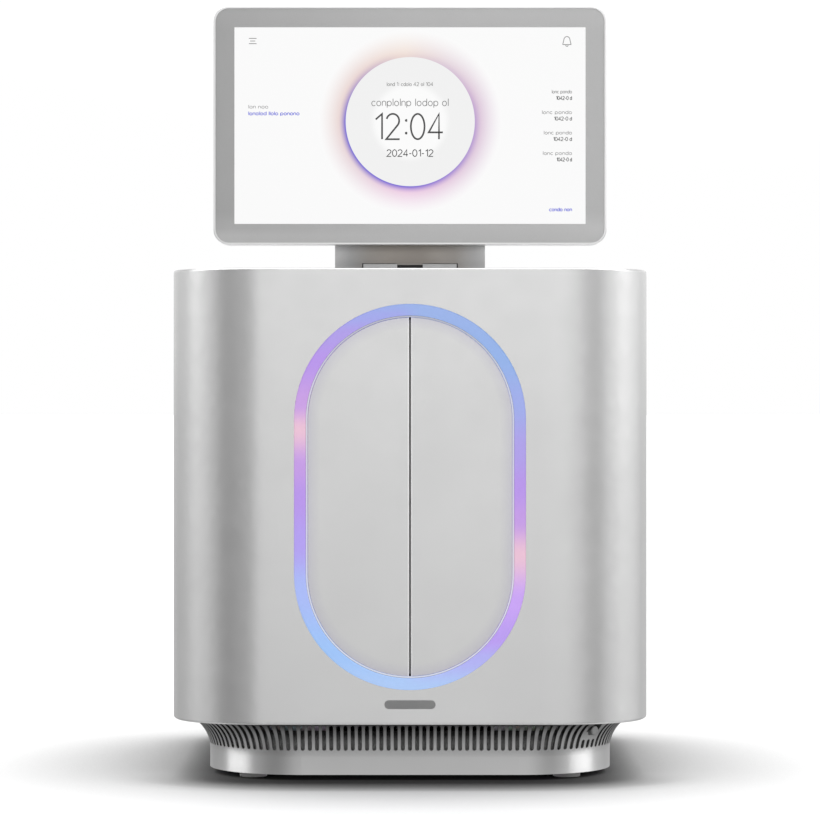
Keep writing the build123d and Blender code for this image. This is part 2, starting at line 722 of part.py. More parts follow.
def hinge_brackets():
    """Two-lug bracket for each hinge arm, fixed to the aperture frame."""
    seat = FRAME_FRONT - HINGE_Y
    lug = Pos(LUG_SHIFT_X, (LUG_FRONT + LUG_BACK) / 2) * Rectangle(2 * LUG_HALF_X, LUG_BACK - LUG_FRONT)
    lug += Pos(LEG_X, (seat + LUG_FRONT) / 2) * Rectangle(LEG_WIDTH, seat - LUG_FRONT)
    lug -= Circle(PIN_RADIUS)
    web_back = -LUG_FRONT - LUG_THICKNESS * 1.2
    web = Pos(WEB_X, (LUG_FRONT + web_back) / 2) * Rectangle(WEB_WIDTH, web_back - LUG_FRONT)
    near = ARM_HEIGHT / 2 + LUG_GAP
    far = near + LUG_THICKNESS
    brackets = []
    for z in hinge_heights():
        bracket = Pos(0, 0, near) * extrude(lug, amount=LUG_THICKNESS)
        bracket += Pos(0, 0, -far) * extrude(lug, amount=LUG_THICKNESS)
        bracket += Pos(0, 0, -far) * extrude(web, amount=2 * far)
        brackets += left_and_right(Pos(-HINGE_X, HINGE_Y, z) * bracket)
    return brackets


def hinge_pins():
    """Steel pin of each door hinge."""
    length = ARM_HEIGHT + 2 * (LUG_GAP + LUG_THICKNESS)
    pins = []
    for z in hinge_heights():
        for x in (-HINGE_X, HINGE_X):
            pins.append(rod((x, HINGE_Y, z - length / 2), (0, 0, 1), PIN_RADIUS, length))
    return pins


# ---------------------------------------------------------------- bay

def bay_liner():
    """Stadium-shaped tub behind the doors, with slots for the hinge arms and the stage's way out."""
    tub = upright(stadium(BAY_OUTER), BAY_FRONT, BAY_BACK, z=DOORWAY_Z)
    tub += stadium_ring(BAY_FLANGE, BAY_OUTER - CUT, BAY_FRONT, BAY_FRONT + BAY_WALL)
    tub -= upright(stadium(BAY_OUTER - BAY_WALL), BAY_FRONT - CUT, BAY_BACK - BAY_WALL, z=DOORWAY_Z)
    tub -= block(-PASS_HALF, PASS_HALF, BAY_BACK - BAY_WALL - CUT, BAY_BACK + CUT, SHELF_TOP, PASS_TOP)
    for z in hinge_heights():
        for side in (-1, 1):
            reach = sorted((side * (BAY_OUTER - 9), side * (BAY_FLANGE + 3)))
            back = BAY_FRONT + ARM_SLOT_DEPTH
            tub -= block(*reach, BAY_FRONT - CUT, back, z - ARM_SLOT_HALF, z + ARM_SLOT_HALF)
    return tub


def rod_places(z):
    """Where the sipper's two guide rods cross a height."""
    return [(side * SIPPER_ROD_X, SIPPER_Y, z) for side in (-1, 1)]


def bay_shelves():
    """Lower shelf for the reagent cartridge and middle shelf for the flow cell stage."""
    front = BAY_FRONT + SHELF_SETBACK
    back = BAY_BACK - BAY_WALL
    shelves = []
    for half, top in ((LOW_SHELF_HALF, FLOOR_TOP), (MIDDLE_SHELF_HALF, SHELF_TOP)):
        bottom = top - SHELF_THICKNESS
        shelf = block(-half, half, front, back, bottom, top)
        for place in rod_places(bottom - CUT):
            shelf -= rod(place, (0, 0, 1), SIPPER_ROD_RADIUS, SHELF_THICKNESS + 2 * CUT)
        shelves.append(shelf)
    return shelves


def cartridge_drawer():
    """Sliding tray with side walls for the reagent cartridge, cut away in front for the fingers."""
    base = FLOOR_TOP + DRAWER_LIFT
    floor = base + DRAWER_FLOOR
    top = base + DRAWER_HEIGHT
    inner = DRAWER_HALF - 2
    front = DRAWER_FRONT + 3
    tray = block(-DRAWER_HALF, DRAWER_HALF, DRAWER_FRONT, DRAWER_BACK, base, top)
    tray -= block(-inner, inner, front, DRAWER_BACK - 2, floor, top + CUT)
    return tray - block(-20, 20, DRAWER_FRONT - CUT, front + CUT, base + 5, top + CUT)


def reagent_cartridge():
    """Reagent cartridge with a grid of wells and a finger recess in front."""
    base = FLOOR_TOP + DRAWER_LIFT + DRAWER_FLOOR
    body = block(-CARTRIDGE_HALF, CARTRIDGE_HALF, CARTRIDGE_FRONT, CARTRIDGE_BACK, base, CARTRIDGE_TOP)
    body = fillet(body.edges().filter_by(Axis.Z), 5)
    body -= block(-22, 22, CARTRIDGE_FRONT - CUT, CARTRIDGE_FRONT + 7, 150, 178)
    for x in WELL_COLUMNS:
        for y in WELL_ROWS:
            body -= rod((x, SIPPER_Y + y, base + 12), (0, 0, 1), WELL_RADIUS, CARTRIDGE_TOP - base)
    return body


def sipper_manifold():
    """Manifold that lowers its needles into the cartridge's wells, guided on two rods."""
    half_x, half_y = MANIFOLD_HALF_X, MANIFOLD_HALF_Y
    top = SIPPER_BOTTOM + MANIFOLD_THICKNESS
    manifold = block(-half_x, half_x, SIPPER_Y - half_y, SIPPER_Y + half_y, SIPPER_BOTTOM, top)
    for side_x in (-1, 1):
        for side_y in (-1, 1):
            span_x = sorted((side_x * EAR_INNER, side_x * (half_x + CUT)))
            span_y = sorted((SIPPER_Y + side_y * EAR_HALF_Y, SIPPER_Y + side_y * (half_y + CUT)))
            manifold -= block(*span_x, *span_y, SIPPER_BOTTOM - CUT, top + CUT)
    for place in rod_places(SIPPER_BOTTOM - CUT):
        manifold -= rod(place, (0, 0, 1), SIPPER_ROD_RADIUS + RUN_CLEARANCE, MANIFOLD_THICKNESS + 2 * CUT)
    for x in WELL_COLUMNS:
        for y in WELL_ROWS:
            tip = (x, SIPPER_Y + y, NEEDLE_TIP)
            manifold += rod(tip, (0, 0, 1), NEEDLE_RADIUS, SIPPER_BOTTOM - NEEDLE_TIP + CUT)
    return manifold


def sipper_rods():
    """Two guide rods between the shelves."""
    bottom = FLOOR_TOP - SHELF_THICKNESS
    return [rod(place, (0, 0, 1), SIPPER_ROD_RADIUS, SHELF_TOP - bottom) for place in rod_places(bottom)]


# ---------------------------------------------------------------- flow cell stage and optics

def stage_rails():
    """Two linear rails from the bay through to the imaging position, and the screw's end bearings."""
    half = RAIL_WIDTH / 2
    rails = []
    for x in (-RAIL_X, RAIL_X):
        rails.append(block(x - half, x + half, RAIL_FRONT, RAIL_BACK, SHELF_TOP, RAIL_TOP))
    for y in (RAIL_FRONT, RAIL_BACK - BEARING_LENGTH):
        bearing = block(-BEARING_HALF, BEARING_HALF, y, y + BEARING_LENGTH, SHELF_TOP, SCREW_Z + 5)
        bore = rod((0, y - CUT, SCREW_Z), (0, 1, 0), SCREW_RADIUS + RUN_CLEARANCE, BEARING_LENGTH + 2 * CUT)
        rails.append(bearing - bore)
    return rails


def stage_screw():
    """Fast-lead screw that drives the stage."""
    return rod((0, RAIL_FRONT, SCREW_Z), (0, 1, 0), SCREW_RADIUS, RAIL_BACK - RAIL_FRONT)


def stage_carriage():
    """Carriage that straddles the rails, with its nut round the screw."""
    front, back = CARRIAGE_Y - CARRIAGE_HALF_Y, CARRIAGE_Y + CARRIAGE_HALF_Y
    half = RAIL_WIDTH / 2 + RUN_CLEARANCE
    under = RAIL_TOP + CUT
    plate = block(-CARRIAGE_HALF_X, CARRIAGE_HALF_X, front, back, RAIL_TOP + RUN_CLEARANCE, CARRIAGE_TOP)
    for side in (-1, 1):
        for inner in (-1, 1):
            edge = side * RAIL_X + inner * half
            lip = sorted((edge, edge + inner * 3))
            plate += block(*lip, front, back, SHELF_TOP + 2, under)
    plate += block(-BEARING_HALF, BEARING_HALF, CARRIAGE_Y - NUT_HALF, CARRIAGE_Y + NUT_HALF,
                   SHELF_TOP + 1, under)
    bore = (0, front - CUT, SCREW_Z)
    return plate - rod(bore, (0, 1, 0), SCREW_RADIUS + RUN_CLEARANCE, back - front + 2 * CUT)


def thermal_block():
    """Heating and cooling block under the flow cell, grooved along its sides."""
    front, back = CARRIAGE_Y - HEATER_HALF_Y, CARRIAGE_Y + HEATER_HALF_Y
    top = CARRIAGE_TOP + HEATER_HEIGHT
    heater = block(-HEATER_HALF_X, HEATER_HALF_X, front, back, CARRIAGE_TOP, top)
    for level in FIN_LEVELS:
        low = CARRIAGE_TOP + level
        for side in (-1, 1):
            groove = sorted((side * (HEATER_HALF_X - 6), side * (HEATER_HALF_X + CUT)))
            heater -= block(*groove, front - CUT, back + CUT, low, low + 1.5)
    return heater


def flow_cell():
    """Flow cell: a framed glass slide with two ports."""
    bottom = CARRIAGE_TOP + HEATER_HEIGHT
    top = bottom + CELL_THICKNESS
    front, back = CARRIAGE_Y - CELL_HALF_Y, CARRIAGE_Y + CELL_HALF_Y
    cell = block(-CELL_HALF_X, CELL_HALF_X, front, back, bottom, top)
    cell = fillet(cell.edges().filter_by(Axis.Z), 3)
    cell -= block(-12.5, 12.5, CARRIAGE_Y - 20, CARRIAGE_Y + 20, top - 1, top + CUT)
    for y in (-CELL_PORT_Y, CELL_PORT_Y):
        cell -= rod((0, CARRIAGE_Y + y, bottom + 1), (0, 0, 1), 1.5, CELL_THICKNESS)
    return cell


def optics_tower():
    """Column and bracket that hold the camera and the objective above the imaging position."""
    back = TOWER_FRONT + TOWER_DEPTH
    tower = block(-TOWER_HALF, TOWER_HALF, TOWER_FRONT, back, SHELF_TOP, TOWER_TOP)
    tower -= block(-20, 20, TOWER_FRONT - CUT, back + CUT, SHELF_TOP + 30, SHELF_TOP + 70)
    front = IMAGING_Y - 28
    tower += block(-BRACKET_HALF, BRACKET_HALF, front, TOWER_FRONT + CUT, BRACKET_BOTTOM, BRACKET_TOP)
    bore = (0, IMAGING_Y, BRACKET_BOTTOM - CUT)
    length = BRACKET_TOP - BRACKET_BOTTOM + 2 * CUT
    return tower - rod(bore, (0, 0, 1), LENS_RADIUS + RUN_CLEARANCE, length)


def objective():
    """Stepped objective lens in its focusing sleeve."""
    steps = []
    for bottom, top, radius in LENS_STEPS:
        steps.append(rod((0, IMAGING_Y, bottom), (0, 0, 1), radius, top - bottom))
    return steps[0] + steps[1:]


def camera():
    """Camera body with its finned back, on the tower's bracket."""
    half = CAMERA_HALF
    body = block(-half, half, IMAGING_Y - half, CAMERA_BACK, CAMERA_BOTTOM, CAMERA_TOP)
    for side in (-1, 1):
        leg = sorted((side * (half - 6), side * half))
        body += block(*leg, IMAGING_Y - 10, CAMERA_BACK - 10, BRACKET_TOP, CAMERA_BOTTOM + CUT)
    for step in range(CAMERA_FINS):
        front = IMAGING_Y + 5 + 11 * step
        body -= block(-half - CUT, half + CUT, front, front + 5, CAMERA_TOP - 7, CAMERA_TOP + CUT)
    return body


# ---------------------------------------------------------------- chassis, electronics, fluidics

def chassis_deck():
    """Floor plate of the case, resting on its flange, with two air openings."""
    deck = prism(soft_rectangle(SHELL + 1), BODY_BOTTOM + SHELL, DECK_TOP)
    for side in (-1, 1):
        opening = sorted((side * 20, side * 140))
        deck -= block(*opening, 60, 140, BODY_BOTTOM, DECK_TOP + CUT)
    return deck


def bulkhead():
    """Upright plate behind the bay, with the stage's opening."""
    back = BAY_BACK + BULKHEAD_THICKNESS
    plate = block(-BULKHEAD_HALF, BULKHEAD_HALF, BAY_BACK, back, DECK_TOP, BULKHEAD_TOP)
    bottom = SHELF_TOP - SHELF_THICKNESS
    return plate - block(-PASS_HALF, PASS_HALF, BAY_BACK - CUT, back + CUT, bottom, PASS_TOP)


def equipment_shelf():
    """Shelf behind the bulkhead, on two legs, for the optics."""
    front = BAY_BACK + BULKHEAD_THICKNESS
    bottom = SHELF_TOP - SHELF_THICKNESS
    shelf = block(-BULKHEAD_HALF, BULKHEAD_HALF, front, REAR_SHELF_BACK, bottom, SHELF_TOP)
    for side in (-1, 1):
        leg = sorted((side * REAR_LEG_X, side * (REAR_LEG_X + SHELF_THICKNESS)))
        shelf += block(*leg, front + 30, REAR_SHELF_BACK, DECK_TOP, SHELF_TOP - 1)
    return shelf


def power_supply():
    """Mains power supply in a slotted metal case."""
    left, right = SUPPLY_X
    case = block(left, right, *SUPPLY_Y, DECK_TOP, DECK_TOP + SUPPLY_HEIGHT)
    for step in range(SUPPLY_SLOTS):
        front = SUPPLY_Y[0] + 20 + 16 * step
        case -= block(left - CUT, left + 4, front, front + 6, DECK_TOP + 8, DECK_TOP + SUPPLY_HEIGHT - 9)
    return case


def main_board():
    """Computer board on spacers, with its heat sink and connectors."""
    bottom = DECK_TOP + BOARD_LIFT
    board = block(*BOARD_X, *BOARD_Y, bottom, bottom + BOARD_THICKNESS)
    for x in (BOARD_X[0] + 8, BOARD_X[1] - 8):
        for y in (BOARD_Y[0] + 8, BOARD_Y[1] - 8):
            board += rod((x, y, DECK_TOP), (0, 0, 1), 3, BOARD_LIFT + CUT)
    for step in range(SINK_FINS):
        board += block(30 + 8 * step, 34 + 8 * step, 80, 130, bottom + 4, bottom + 26)
    board += block(28, 84, 78, 132, bottom + 1, bottom + 5)
    board += block(-10, 10, 60, 150, bottom + 1, bottom + 12)
    return board + block(100, 125, 40, 60, bottom + 1, bottom + 8)


def syringe_pump():
    """Pump column with the glass barrel that the plunger runs in."""
    pump = block(70, 120, -55, -20, DECK_TOP, 200)
    pump += block(80, 110, -21, 6, 130, 205)
    return pump - rod((PLUNGER_X, PLUNGER_Y, 125), (0, 0, 1), PLUNGER_RADIUS + RUN_CLEARANCE, 70)


def syringe_plunger():
    """Plunger and its rod, hanging below the barrel."""
    plunger = rod((PLUNGER_X, PLUNGER_Y, 95), (0, 0, 1), PLUNGER_RADIUS, 50)
    return plunger + rod((PLUNGER_X, PLUNGER_Y, 90), (0, 0, 1), PLUNGER_RADIUS + 4, 6)


# ---------------------------------------------------------------- rear panel

def rear_block(x, half_x, half_z, front, back, z=0.0):
    """A box in the rear panel's lower row, between two depths."""
    middle = REAR_ROW_Z + z
    return block(x - half_x, x + half_x, front, back, middle - half_z, middle + half_z)


def rear_panel():
    """Sheet closing the back, with the fan, inlet, switch and port openings."""
    front = PANEL_BACK - PANEL_THICKNESS
    panel = block(-PANEL_HALF_X, PANEL_HALF_X, front, PANEL_BACK, PANEL_BOTTOM, PANEL_TOP)
    for side in (-1, 1):
        panel -= rod((side * FAN_X, front - CUT, FAN_Z), (0, 1, 0), FAN_BORE, PANEL_THICKNESS + 2 * CUT)
    openings = [(INLET_X, INLET_HALF_X, INLET_HALF_Z), (SWITCH_X, SWITCH_HALF_X, SWITCH_HALF_Z)]
    openings += [(x, width / 2, height / 2) for x, width, height in PORT_PLACES]
    for x, half_x, half_z in openings:
        panel -= rear_block(x, half_x + ROW_GAP, half_z + ROW_GAP, front - CUT, PANEL_BACK + CUT)
    for row in range(VENT_ROWS):
        for column in range(VENT_COLUMNS):
            x = 20 * (column - (VENT_COLUMNS - 1) / 2)
            z = 170 + 12 * row
            panel -= block(x - 7, x + 7, front - CUT, PANEL_BACK + CUT, z - 2, z + 2)
    return panel


def power_inlet():
    """Mains inlet: a flanged socket with three blades."""
    y = PANEL_BACK
    body = rear_block(INLET_X, INLET_HALF_X, INLET_HALF_Z, y - INLET_DEPTH, y)
    body += rear_block(INLET_X, INLET_HALF_X + 3, INLET_HALF_Z + 3, y, y + 2)
    body -= rear_block(INLET_X, INLET_HALF_X - 2, INLET_HALF_Z - 2, y - INLET_DEPTH + 6, y + 2 + CUT)
    for x, z in INLET_PINS:
        body += rear_block(INLET_X + x, 1, 2, y - INLET_DEPTH + 5, y - 1, z)
    return body


def switch_frame():
    """Snap-in frame of the mains switch."""
    y = PANEL_BACK
    frame = rear_block(SWITCH_X, SWITCH_HALF_X, SWITCH_HALF_Z, y - SWITCH_DEPTH, y)
    frame += rear_block(SWITCH_X, SWITCH_HALF_X + 2, SWITCH_HALF_Z + 2, y, y + 1.2)
    frame -= rear_block(SWITCH_X, ROCKER_HALF_X + 0.6, ROCKER_HALF_Z + 1.4, y - SWITCH_DEPTH + 2, y + 2)
    for side in (-1, 1):
        inner = SWITCH_X + side * (ROCKER_HALF_X + 0.7)
        frame += rod((inner, ROCKER_AXIS_Y, REAR_ROW_Z), (-side, 0, 0), ROCKER_PIVOT, 2.2)
    return frame


def power_rocker():
    """Rocker of the mains switch, resting with one end pressed in."""
    wide = 2 * (ROCKER_HALF_X + CUT)
    rocker = block(-ROCKER_HALF_X, ROCKER_HALF_X, -3, 5.2, -ROCKER_HALF_Z, ROCKER_HALF_Z)
    rocker -= Pos(0, ROCKER_DISH + 3.9, 0) * Rot(0, 90, 0) * Cylinder(ROCKER_DISH, wide)
    rocker -= rod((-wide / 2, 0, 0), (1, 0, 0), ROCKER_PIVOT + RUN_CLEARANCE, wide)
    return Pos(SWITCH_X, ROCKER_AXIS_Y, REAR_ROW_Z) * Rot(-ROCKER_TILT, 0, 0) * rocker


def data_ports():
    """Data sockets in a row on the back."""
    ports = []
    for x, width, height in PORT_PLACES:
        half_x, half_z = width / 2, height / 2
        shell = rear_block(x, half_x, half_z, PANEL_BACK - 16, PANEL_BACK + 0.6)
        shell -= rear_block(x, half_x - PORT_WALL, half_z - PORT_WALL, PANEL_BACK - 12, PANEL_BACK + 2)
        shell += rear_block(x, half_x - 2.2, PORT_WALL, PANEL_BACK - 13, PANEL_BACK - 2)
        ports.append(shell)
    return ports


def fan_frames():
    """Square fan frames with a motor mount on four struts."""
    frames = []
    back = PANEL_BACK - PANEL_THICKNESS
    front = back - FAN_DEPTH
    for x in (-FAN_X, FAN_X):
        frame = upright(RectangleRounded(FAN_SIZE, FAN_SIZE, 5), front, back, x, FAN_Z)
        frame -= rod((x, front - CUT, FAN_Z), (0, 1, 0), FAN_BORE, FAN_DEPTH + 2 * CUT)
        frame += rod((x, front, FAN_Z), (0, 1, 0), ROTOR_HUB, 2.5)
        for turn in (45, 135):
            strut = Box(2 * (FAN_BORE + CUT), 2.5, 4)
            frame += Pos(x, front + 1.25, FAN_Z) * Rot(0, turn, 0) * strut
        frames.append(frame)
    return frames


def fan_rotor(side):
    """Fan rotor: a hub with slanted blades."""
    front = PANEL_BACK - PANEL_THICKNESS - FAN_DEPTH + ROTOR_INSET
    rotor = rod((0, 0, 0), (0, 1, 0), ROTOR_HUB, ROTOR_DEPTH)
    length = ROTOR_RADIUS - ROTOR_HUB + 3
    blade = Rot(BLADE_ANGLE, 0, 0) * Box(length, BLADE_WIDTH, BLADE_THICKNESS)
    blade = Pos(ROTOR_RADIUS - length / 2, ROTOR_DEPTH / 2, 0) * blade
    for index in range(BLADE_COUNT):
        rotor += Rot(0, index * 360 / BLADE_COUNT, 0) * blade
    return Pos(side * FAN_X, front, FAN_Z) * rotor


def fan_guards():
    """Wire guards over the fans: rings on a cross, within the panel's recess."""
    guards = []
    half = GUARD_WIRE / 2
    for x in (-FAN_X, FAN_X):
        guard = None
        for radius in GUARD_RADII:
            ring = tube((x, PANEL_BACK, FAN_Z), (0, 1, 0), radius + half, radius - half, GUARD_WIRE)
            guard = ring if guard is None else guard + ring
        for turn in (45, 135):
            bar = Box(2 * (FAN_BORE + 7), 1.2, GUARD_WIRE)
            guard += Pos(x, PANEL_BACK + 0.6, FAN_Z) * Rot(0, turn, 0) * bar
        guards.append(guard)
    return guards


def rear_screws():
    """Button-head screws round the rear panel, in the case's opening border."""
    screws = []
    inset = PANEL_BORDER + 5
    for x in (inset - PANEL_HALF_X, 0, PANEL_HALF_X - inset):
        for z in (PANEL_BOTTOM + inset, PANEL_TOP - inset):
            screw = rod((x, PANEL_BACK, z), (0, 1, 0), SCREW_HEAD, 1.8)
            screw -= rod((x, PANEL_BACK + 0.8, z), (0, 1, 0), 1.3, 2)
            screws.append(screw)
    return screws


# ---------------------------------------------------------------- display

def display_plate(inset, y_front, y_back):
    """A round-cornered plate on the display's middle, inset from its outline."""
    width, height = DISPLAY_WIDTH - 2 * inset, DISPLAY_HEIGHT - 2 * inset
    outline = RectangleRounded(width, height, DISPLAY_CORNER - inset)
    return upright(outline, y_front, y_back, z=DISPLAY_BOTTOM + DISPLAY_HEIGHT / 2)


def display_frame():
    """Thin metal rim round the display."""
    frame = display_plate(0, DISPLAY_FRONT, RIM_BACK)
    frame = fillet(frame.faces().sort_by(Axis.Y)[0].edges(), RIM_ROUND)
    return frame - display_plate(DISPLAY_RIM, DISPLAY_FRONT - CUT, RIM_BACK + CUT)


def display_glass():
    """Cover glass, set just below the rim."""
    return display_plate(DISPLAY_RIM + GLASS_GAP, GLASS_FRONT, GLASS_BACK)


def display_panel():
    """Liquid crystal panel behind the glass."""
    middle = DISPLAY_BOTTOM + DISPLAY_HEIGHT / 2
    back = GLASS_BACK + PANEL_DEPTH
    return block(-PAGE_HALF_X, PAGE_HALF_X, GLASS_BACK, back, middle - PAGE_HALF_Z, middle + PAGE_HALF_Z)


def display_back():
    """Rear housing with the raised seat for the neck."""
    cover = display_plate(0, RIM_BACK, HOUSING_REAR)
    cover = fillet(cover.faces().sort_by(Axis.Y)[-1].edges(), BACK_ROUND)
    seat_back = TILT_Y - NECK_THICKNESS / 2
    outline = RectangleRounded(SEAT_WIDTH, SEAT_HEIGHT, SEAT_CORNER)
    seat = upright(outline, HOUSING_REAR - CUT, seat_back, z=SEAT_Z)
    cover += fillet(seat.faces().sort_by(Axis.Y)[-1].edges(), SEAT_ROUND)
    for column in range(GRILLE_COLUMNS):
        x = GRILLE_PITCH * (column - (GRILLE_COLUMNS - 1) / 2)
        for z in GRILLE_ROWS:
            cover -= block(x - 5, x + 5, HOUSING_REAR - 2, HOUSING_REAR + CUT, z, z + 3)
    return cover


def neck_arm():
    """Flat neck with two ears and a middle knuckle round the tilt pin."""
    half_y = NECK_THICKNESS / 2
    blade = block(-NECK_HALF, NECK_HALF, TILT_Y - half_y, TILT_Y + half_y, TILT_Z, NECK_TOP)
    blade = fillet(blade.edges().filter_by(Axis.Y).group_by(Axis.Z)[-1], NECK_CORNER)
    back_face = blade.faces().sort_by(Axis.Y)[-1]
    blade = fillet(back_face.edges().filter_by(lambda edge: edge.center().Z > TILT_Z + 1), NECK_ROUND)
    pocket = KNUCKLE_RADIUS + KNUCKLE_CLEARANCE
    blade -= rod((-NOTCH_HALF, TILT_Y, TILT_Z), (1, 0, 0), pocket, 2 * NOTCH_HALF)
    for side in (-1, 1):
        inner = side * NOTCH_HALF
        blade += rod((inner, TILT_Y, TILT_Z), (side, 0, 0), half_y, NECK_HALF - NOTCH_HALF)
    blade += rod((-CENTRE_KNUCKLE, TILT_Y, TILT_Z), (1, 0, 0), CENTRE_RADIUS, 2 * CENTRE_KNUCKLE)
    front = TILT_Y - CENTRE_DEPTH
    back = TILT_Y + CENTRE_DEPTH
    blade += block(-CENTRE_KNUCKLE, CENTRE_KNUCKLE, front, back, TILT_Z, CENTRE_TOP)
    low, high = GROOVE_Z - GROOVE_HEIGHT / 2, GROOVE_Z + GROOVE_HEIGHT / 2
    blade -= block(-CENTRE_KNUCKLE, CENTRE_KNUCKLE, front - CUT, front + GROOVE_DEPTH, low, high)
    bore = TILT_PIN_RADIUS + RUN_CLEARANCE
    return blade - rod((-NECK_HALF - CUT, TILT_Y, TILT_Z), (1, 0, 0), bore, 2 * (NECK_HALF + CUT))


def display_mount():
    """Well under the top cover with the two fixed knuckles of the tilt hinge."""
    outer_x = WELL_HALF_X + WELL_WALL
    outer_y = WELL_HALF_Y + WELL_WALL
    top = BODY_TOP - LEDGE
    mount = block(-outer_x, outer_x, TILT_Y - outer_y, TILT_Y + outer_y, WELL_FLOOR - WELL_WALL, top)
    inner_y = (TILT_Y - WELL_HALF_Y, TILT_Y + WELL_HALF_Y)
    mount -= block(-WELL_HALF_X, WELL_HALF_X, *inner_y, WELL_FLOOR, top + CUT)
    for side in (-1, 1):
        span = sorted((side * KNUCKLE_INNER, side * KNUCKLE_OUTER))
        front, back = TILT_Y - KNUCKLE_RADIUS, TILT_Y + KNUCKLE_RADIUS
        mount += block(*span, front, back, WELL_FLOOR - CUT, TILT_Z)
        mount += rod((span[0], TILT_Y, TILT_Z), (1, 0, 0), KNUCKLE_RADIUS, span[1] - span[0])
        mount -= block(*span, front - CUT, TILT_Y - KNUCKLE_FLAT, WELL_FLOOR, TILT_Z + KNUCKLE_RADIUS)
        collar = COLLAR_OUTER - KNUCKLE_OUTER
        mount += rod((side * KNUCKLE_OUTER, TILT_Y, TILT_Z), (side, 0, 0), COLLAR_RADIUS, collar)
    return mount - rod((-NECK_HALF, TILT_Y, TILT_Z), (1, 0, 0), TILT_PIN_RADIUS, 2 * NECK_HALF)


def tilt_pin():
    """Steel pin of the display's tilt hinge."""
    length = 2 * NECK_HALF - 4
    return rod((-length / 2, TILT_Y, TILT_Z), (1, 0, 0), TILT_PIN_RADIUS, length)


# ---------------------------------------------------------------- write the nodes

def door_nodes():
    """The doors' nodes, left and mirrored right."""
    makers = {
        "door": left_door,
        "door_liner": left_door_liner,
        "door_magnets": left_door_magnets,
        "hinge_arms": left_hinge_arms,
    }
    nodes = {}
    for name, make in makers.items():
        left = make()
        solids = left if isinstance(left, list) else [left]
        nodes["left_" + name] = solids
        nodes["right_" + name] = [mirror(solid, about=Plane.YZ) for solid in solids]
    return nodes


def all_nodes():
    """Every node's name and its solid or list of solids."""
    makers = (
        body_shell, top_cover, rear_panel, base_plinth, base_tray, intake_filter, feet,
        power_button, button_housing, light_ring, light_ring_board, aperture_frame,
        hinge_brackets, hinge_pins, bay_liner, bay_shelves, cartridge_drawer,
        reagent_cartridge, sipper_manifold, sipper_rods, stage_rails, stage_screw,
        stage_carriage, thermal_block, flow_cell, optics_tower, objective, camera,
        chassis_deck, bulkhead, equipment_shelf, power_supply, main_board, syringe_pump,
        syringe_plunger, power_inlet, switch_frame, power_rocker, data_ports, fan_frames,
        fan_guards, rear_screws, display_frame, display_glass, display_panel, display_back,
        neck_arm, display_mount, tilt_pin,
    )
    nodes = {make.__name__: make() for make in makers}
    nodes["front_badge"] = badge()
    nodes["fan_rotor_left"] = fan_rotor(-1)
    nodes["fan_rotor_right"] = fan_rotor(1)
    nodes.update(door_nodes())
    return nodes


os.makedirs("parts", exist_ok=True)
for node, shape in all_nodes().items():
    solids = shape if isinstance(shape, list) else [shape]
    children = [solid for item in solids for solid in item.solids()]
    whole = children[0] if len(children) == 1 else Compound(children=children)
    export_step(whole, f"parts/{node}.step")
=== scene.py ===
import json
import math

import bmesh
import bpy
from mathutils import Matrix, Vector


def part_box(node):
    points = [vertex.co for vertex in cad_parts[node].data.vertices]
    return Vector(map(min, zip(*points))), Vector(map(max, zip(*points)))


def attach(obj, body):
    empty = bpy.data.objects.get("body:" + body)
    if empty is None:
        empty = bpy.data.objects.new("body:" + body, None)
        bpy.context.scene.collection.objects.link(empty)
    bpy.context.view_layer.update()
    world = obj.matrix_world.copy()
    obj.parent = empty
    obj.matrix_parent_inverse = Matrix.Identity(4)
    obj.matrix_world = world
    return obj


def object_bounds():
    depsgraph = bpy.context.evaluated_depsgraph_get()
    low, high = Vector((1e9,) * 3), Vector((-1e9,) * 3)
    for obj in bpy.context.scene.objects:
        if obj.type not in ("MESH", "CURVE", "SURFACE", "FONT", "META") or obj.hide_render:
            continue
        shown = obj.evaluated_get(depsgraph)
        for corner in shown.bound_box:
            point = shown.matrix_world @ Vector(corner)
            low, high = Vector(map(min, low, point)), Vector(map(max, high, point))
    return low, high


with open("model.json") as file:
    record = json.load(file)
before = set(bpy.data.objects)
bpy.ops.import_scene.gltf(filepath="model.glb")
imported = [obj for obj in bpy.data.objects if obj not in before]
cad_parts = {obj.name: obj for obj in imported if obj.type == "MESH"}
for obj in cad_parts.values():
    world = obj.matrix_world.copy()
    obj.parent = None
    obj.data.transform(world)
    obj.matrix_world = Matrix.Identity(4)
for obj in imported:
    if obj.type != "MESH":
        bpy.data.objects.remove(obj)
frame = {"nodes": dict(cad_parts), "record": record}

CAD_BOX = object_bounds()
MM = 0.001


# ---------------------------------------------------------------- node building

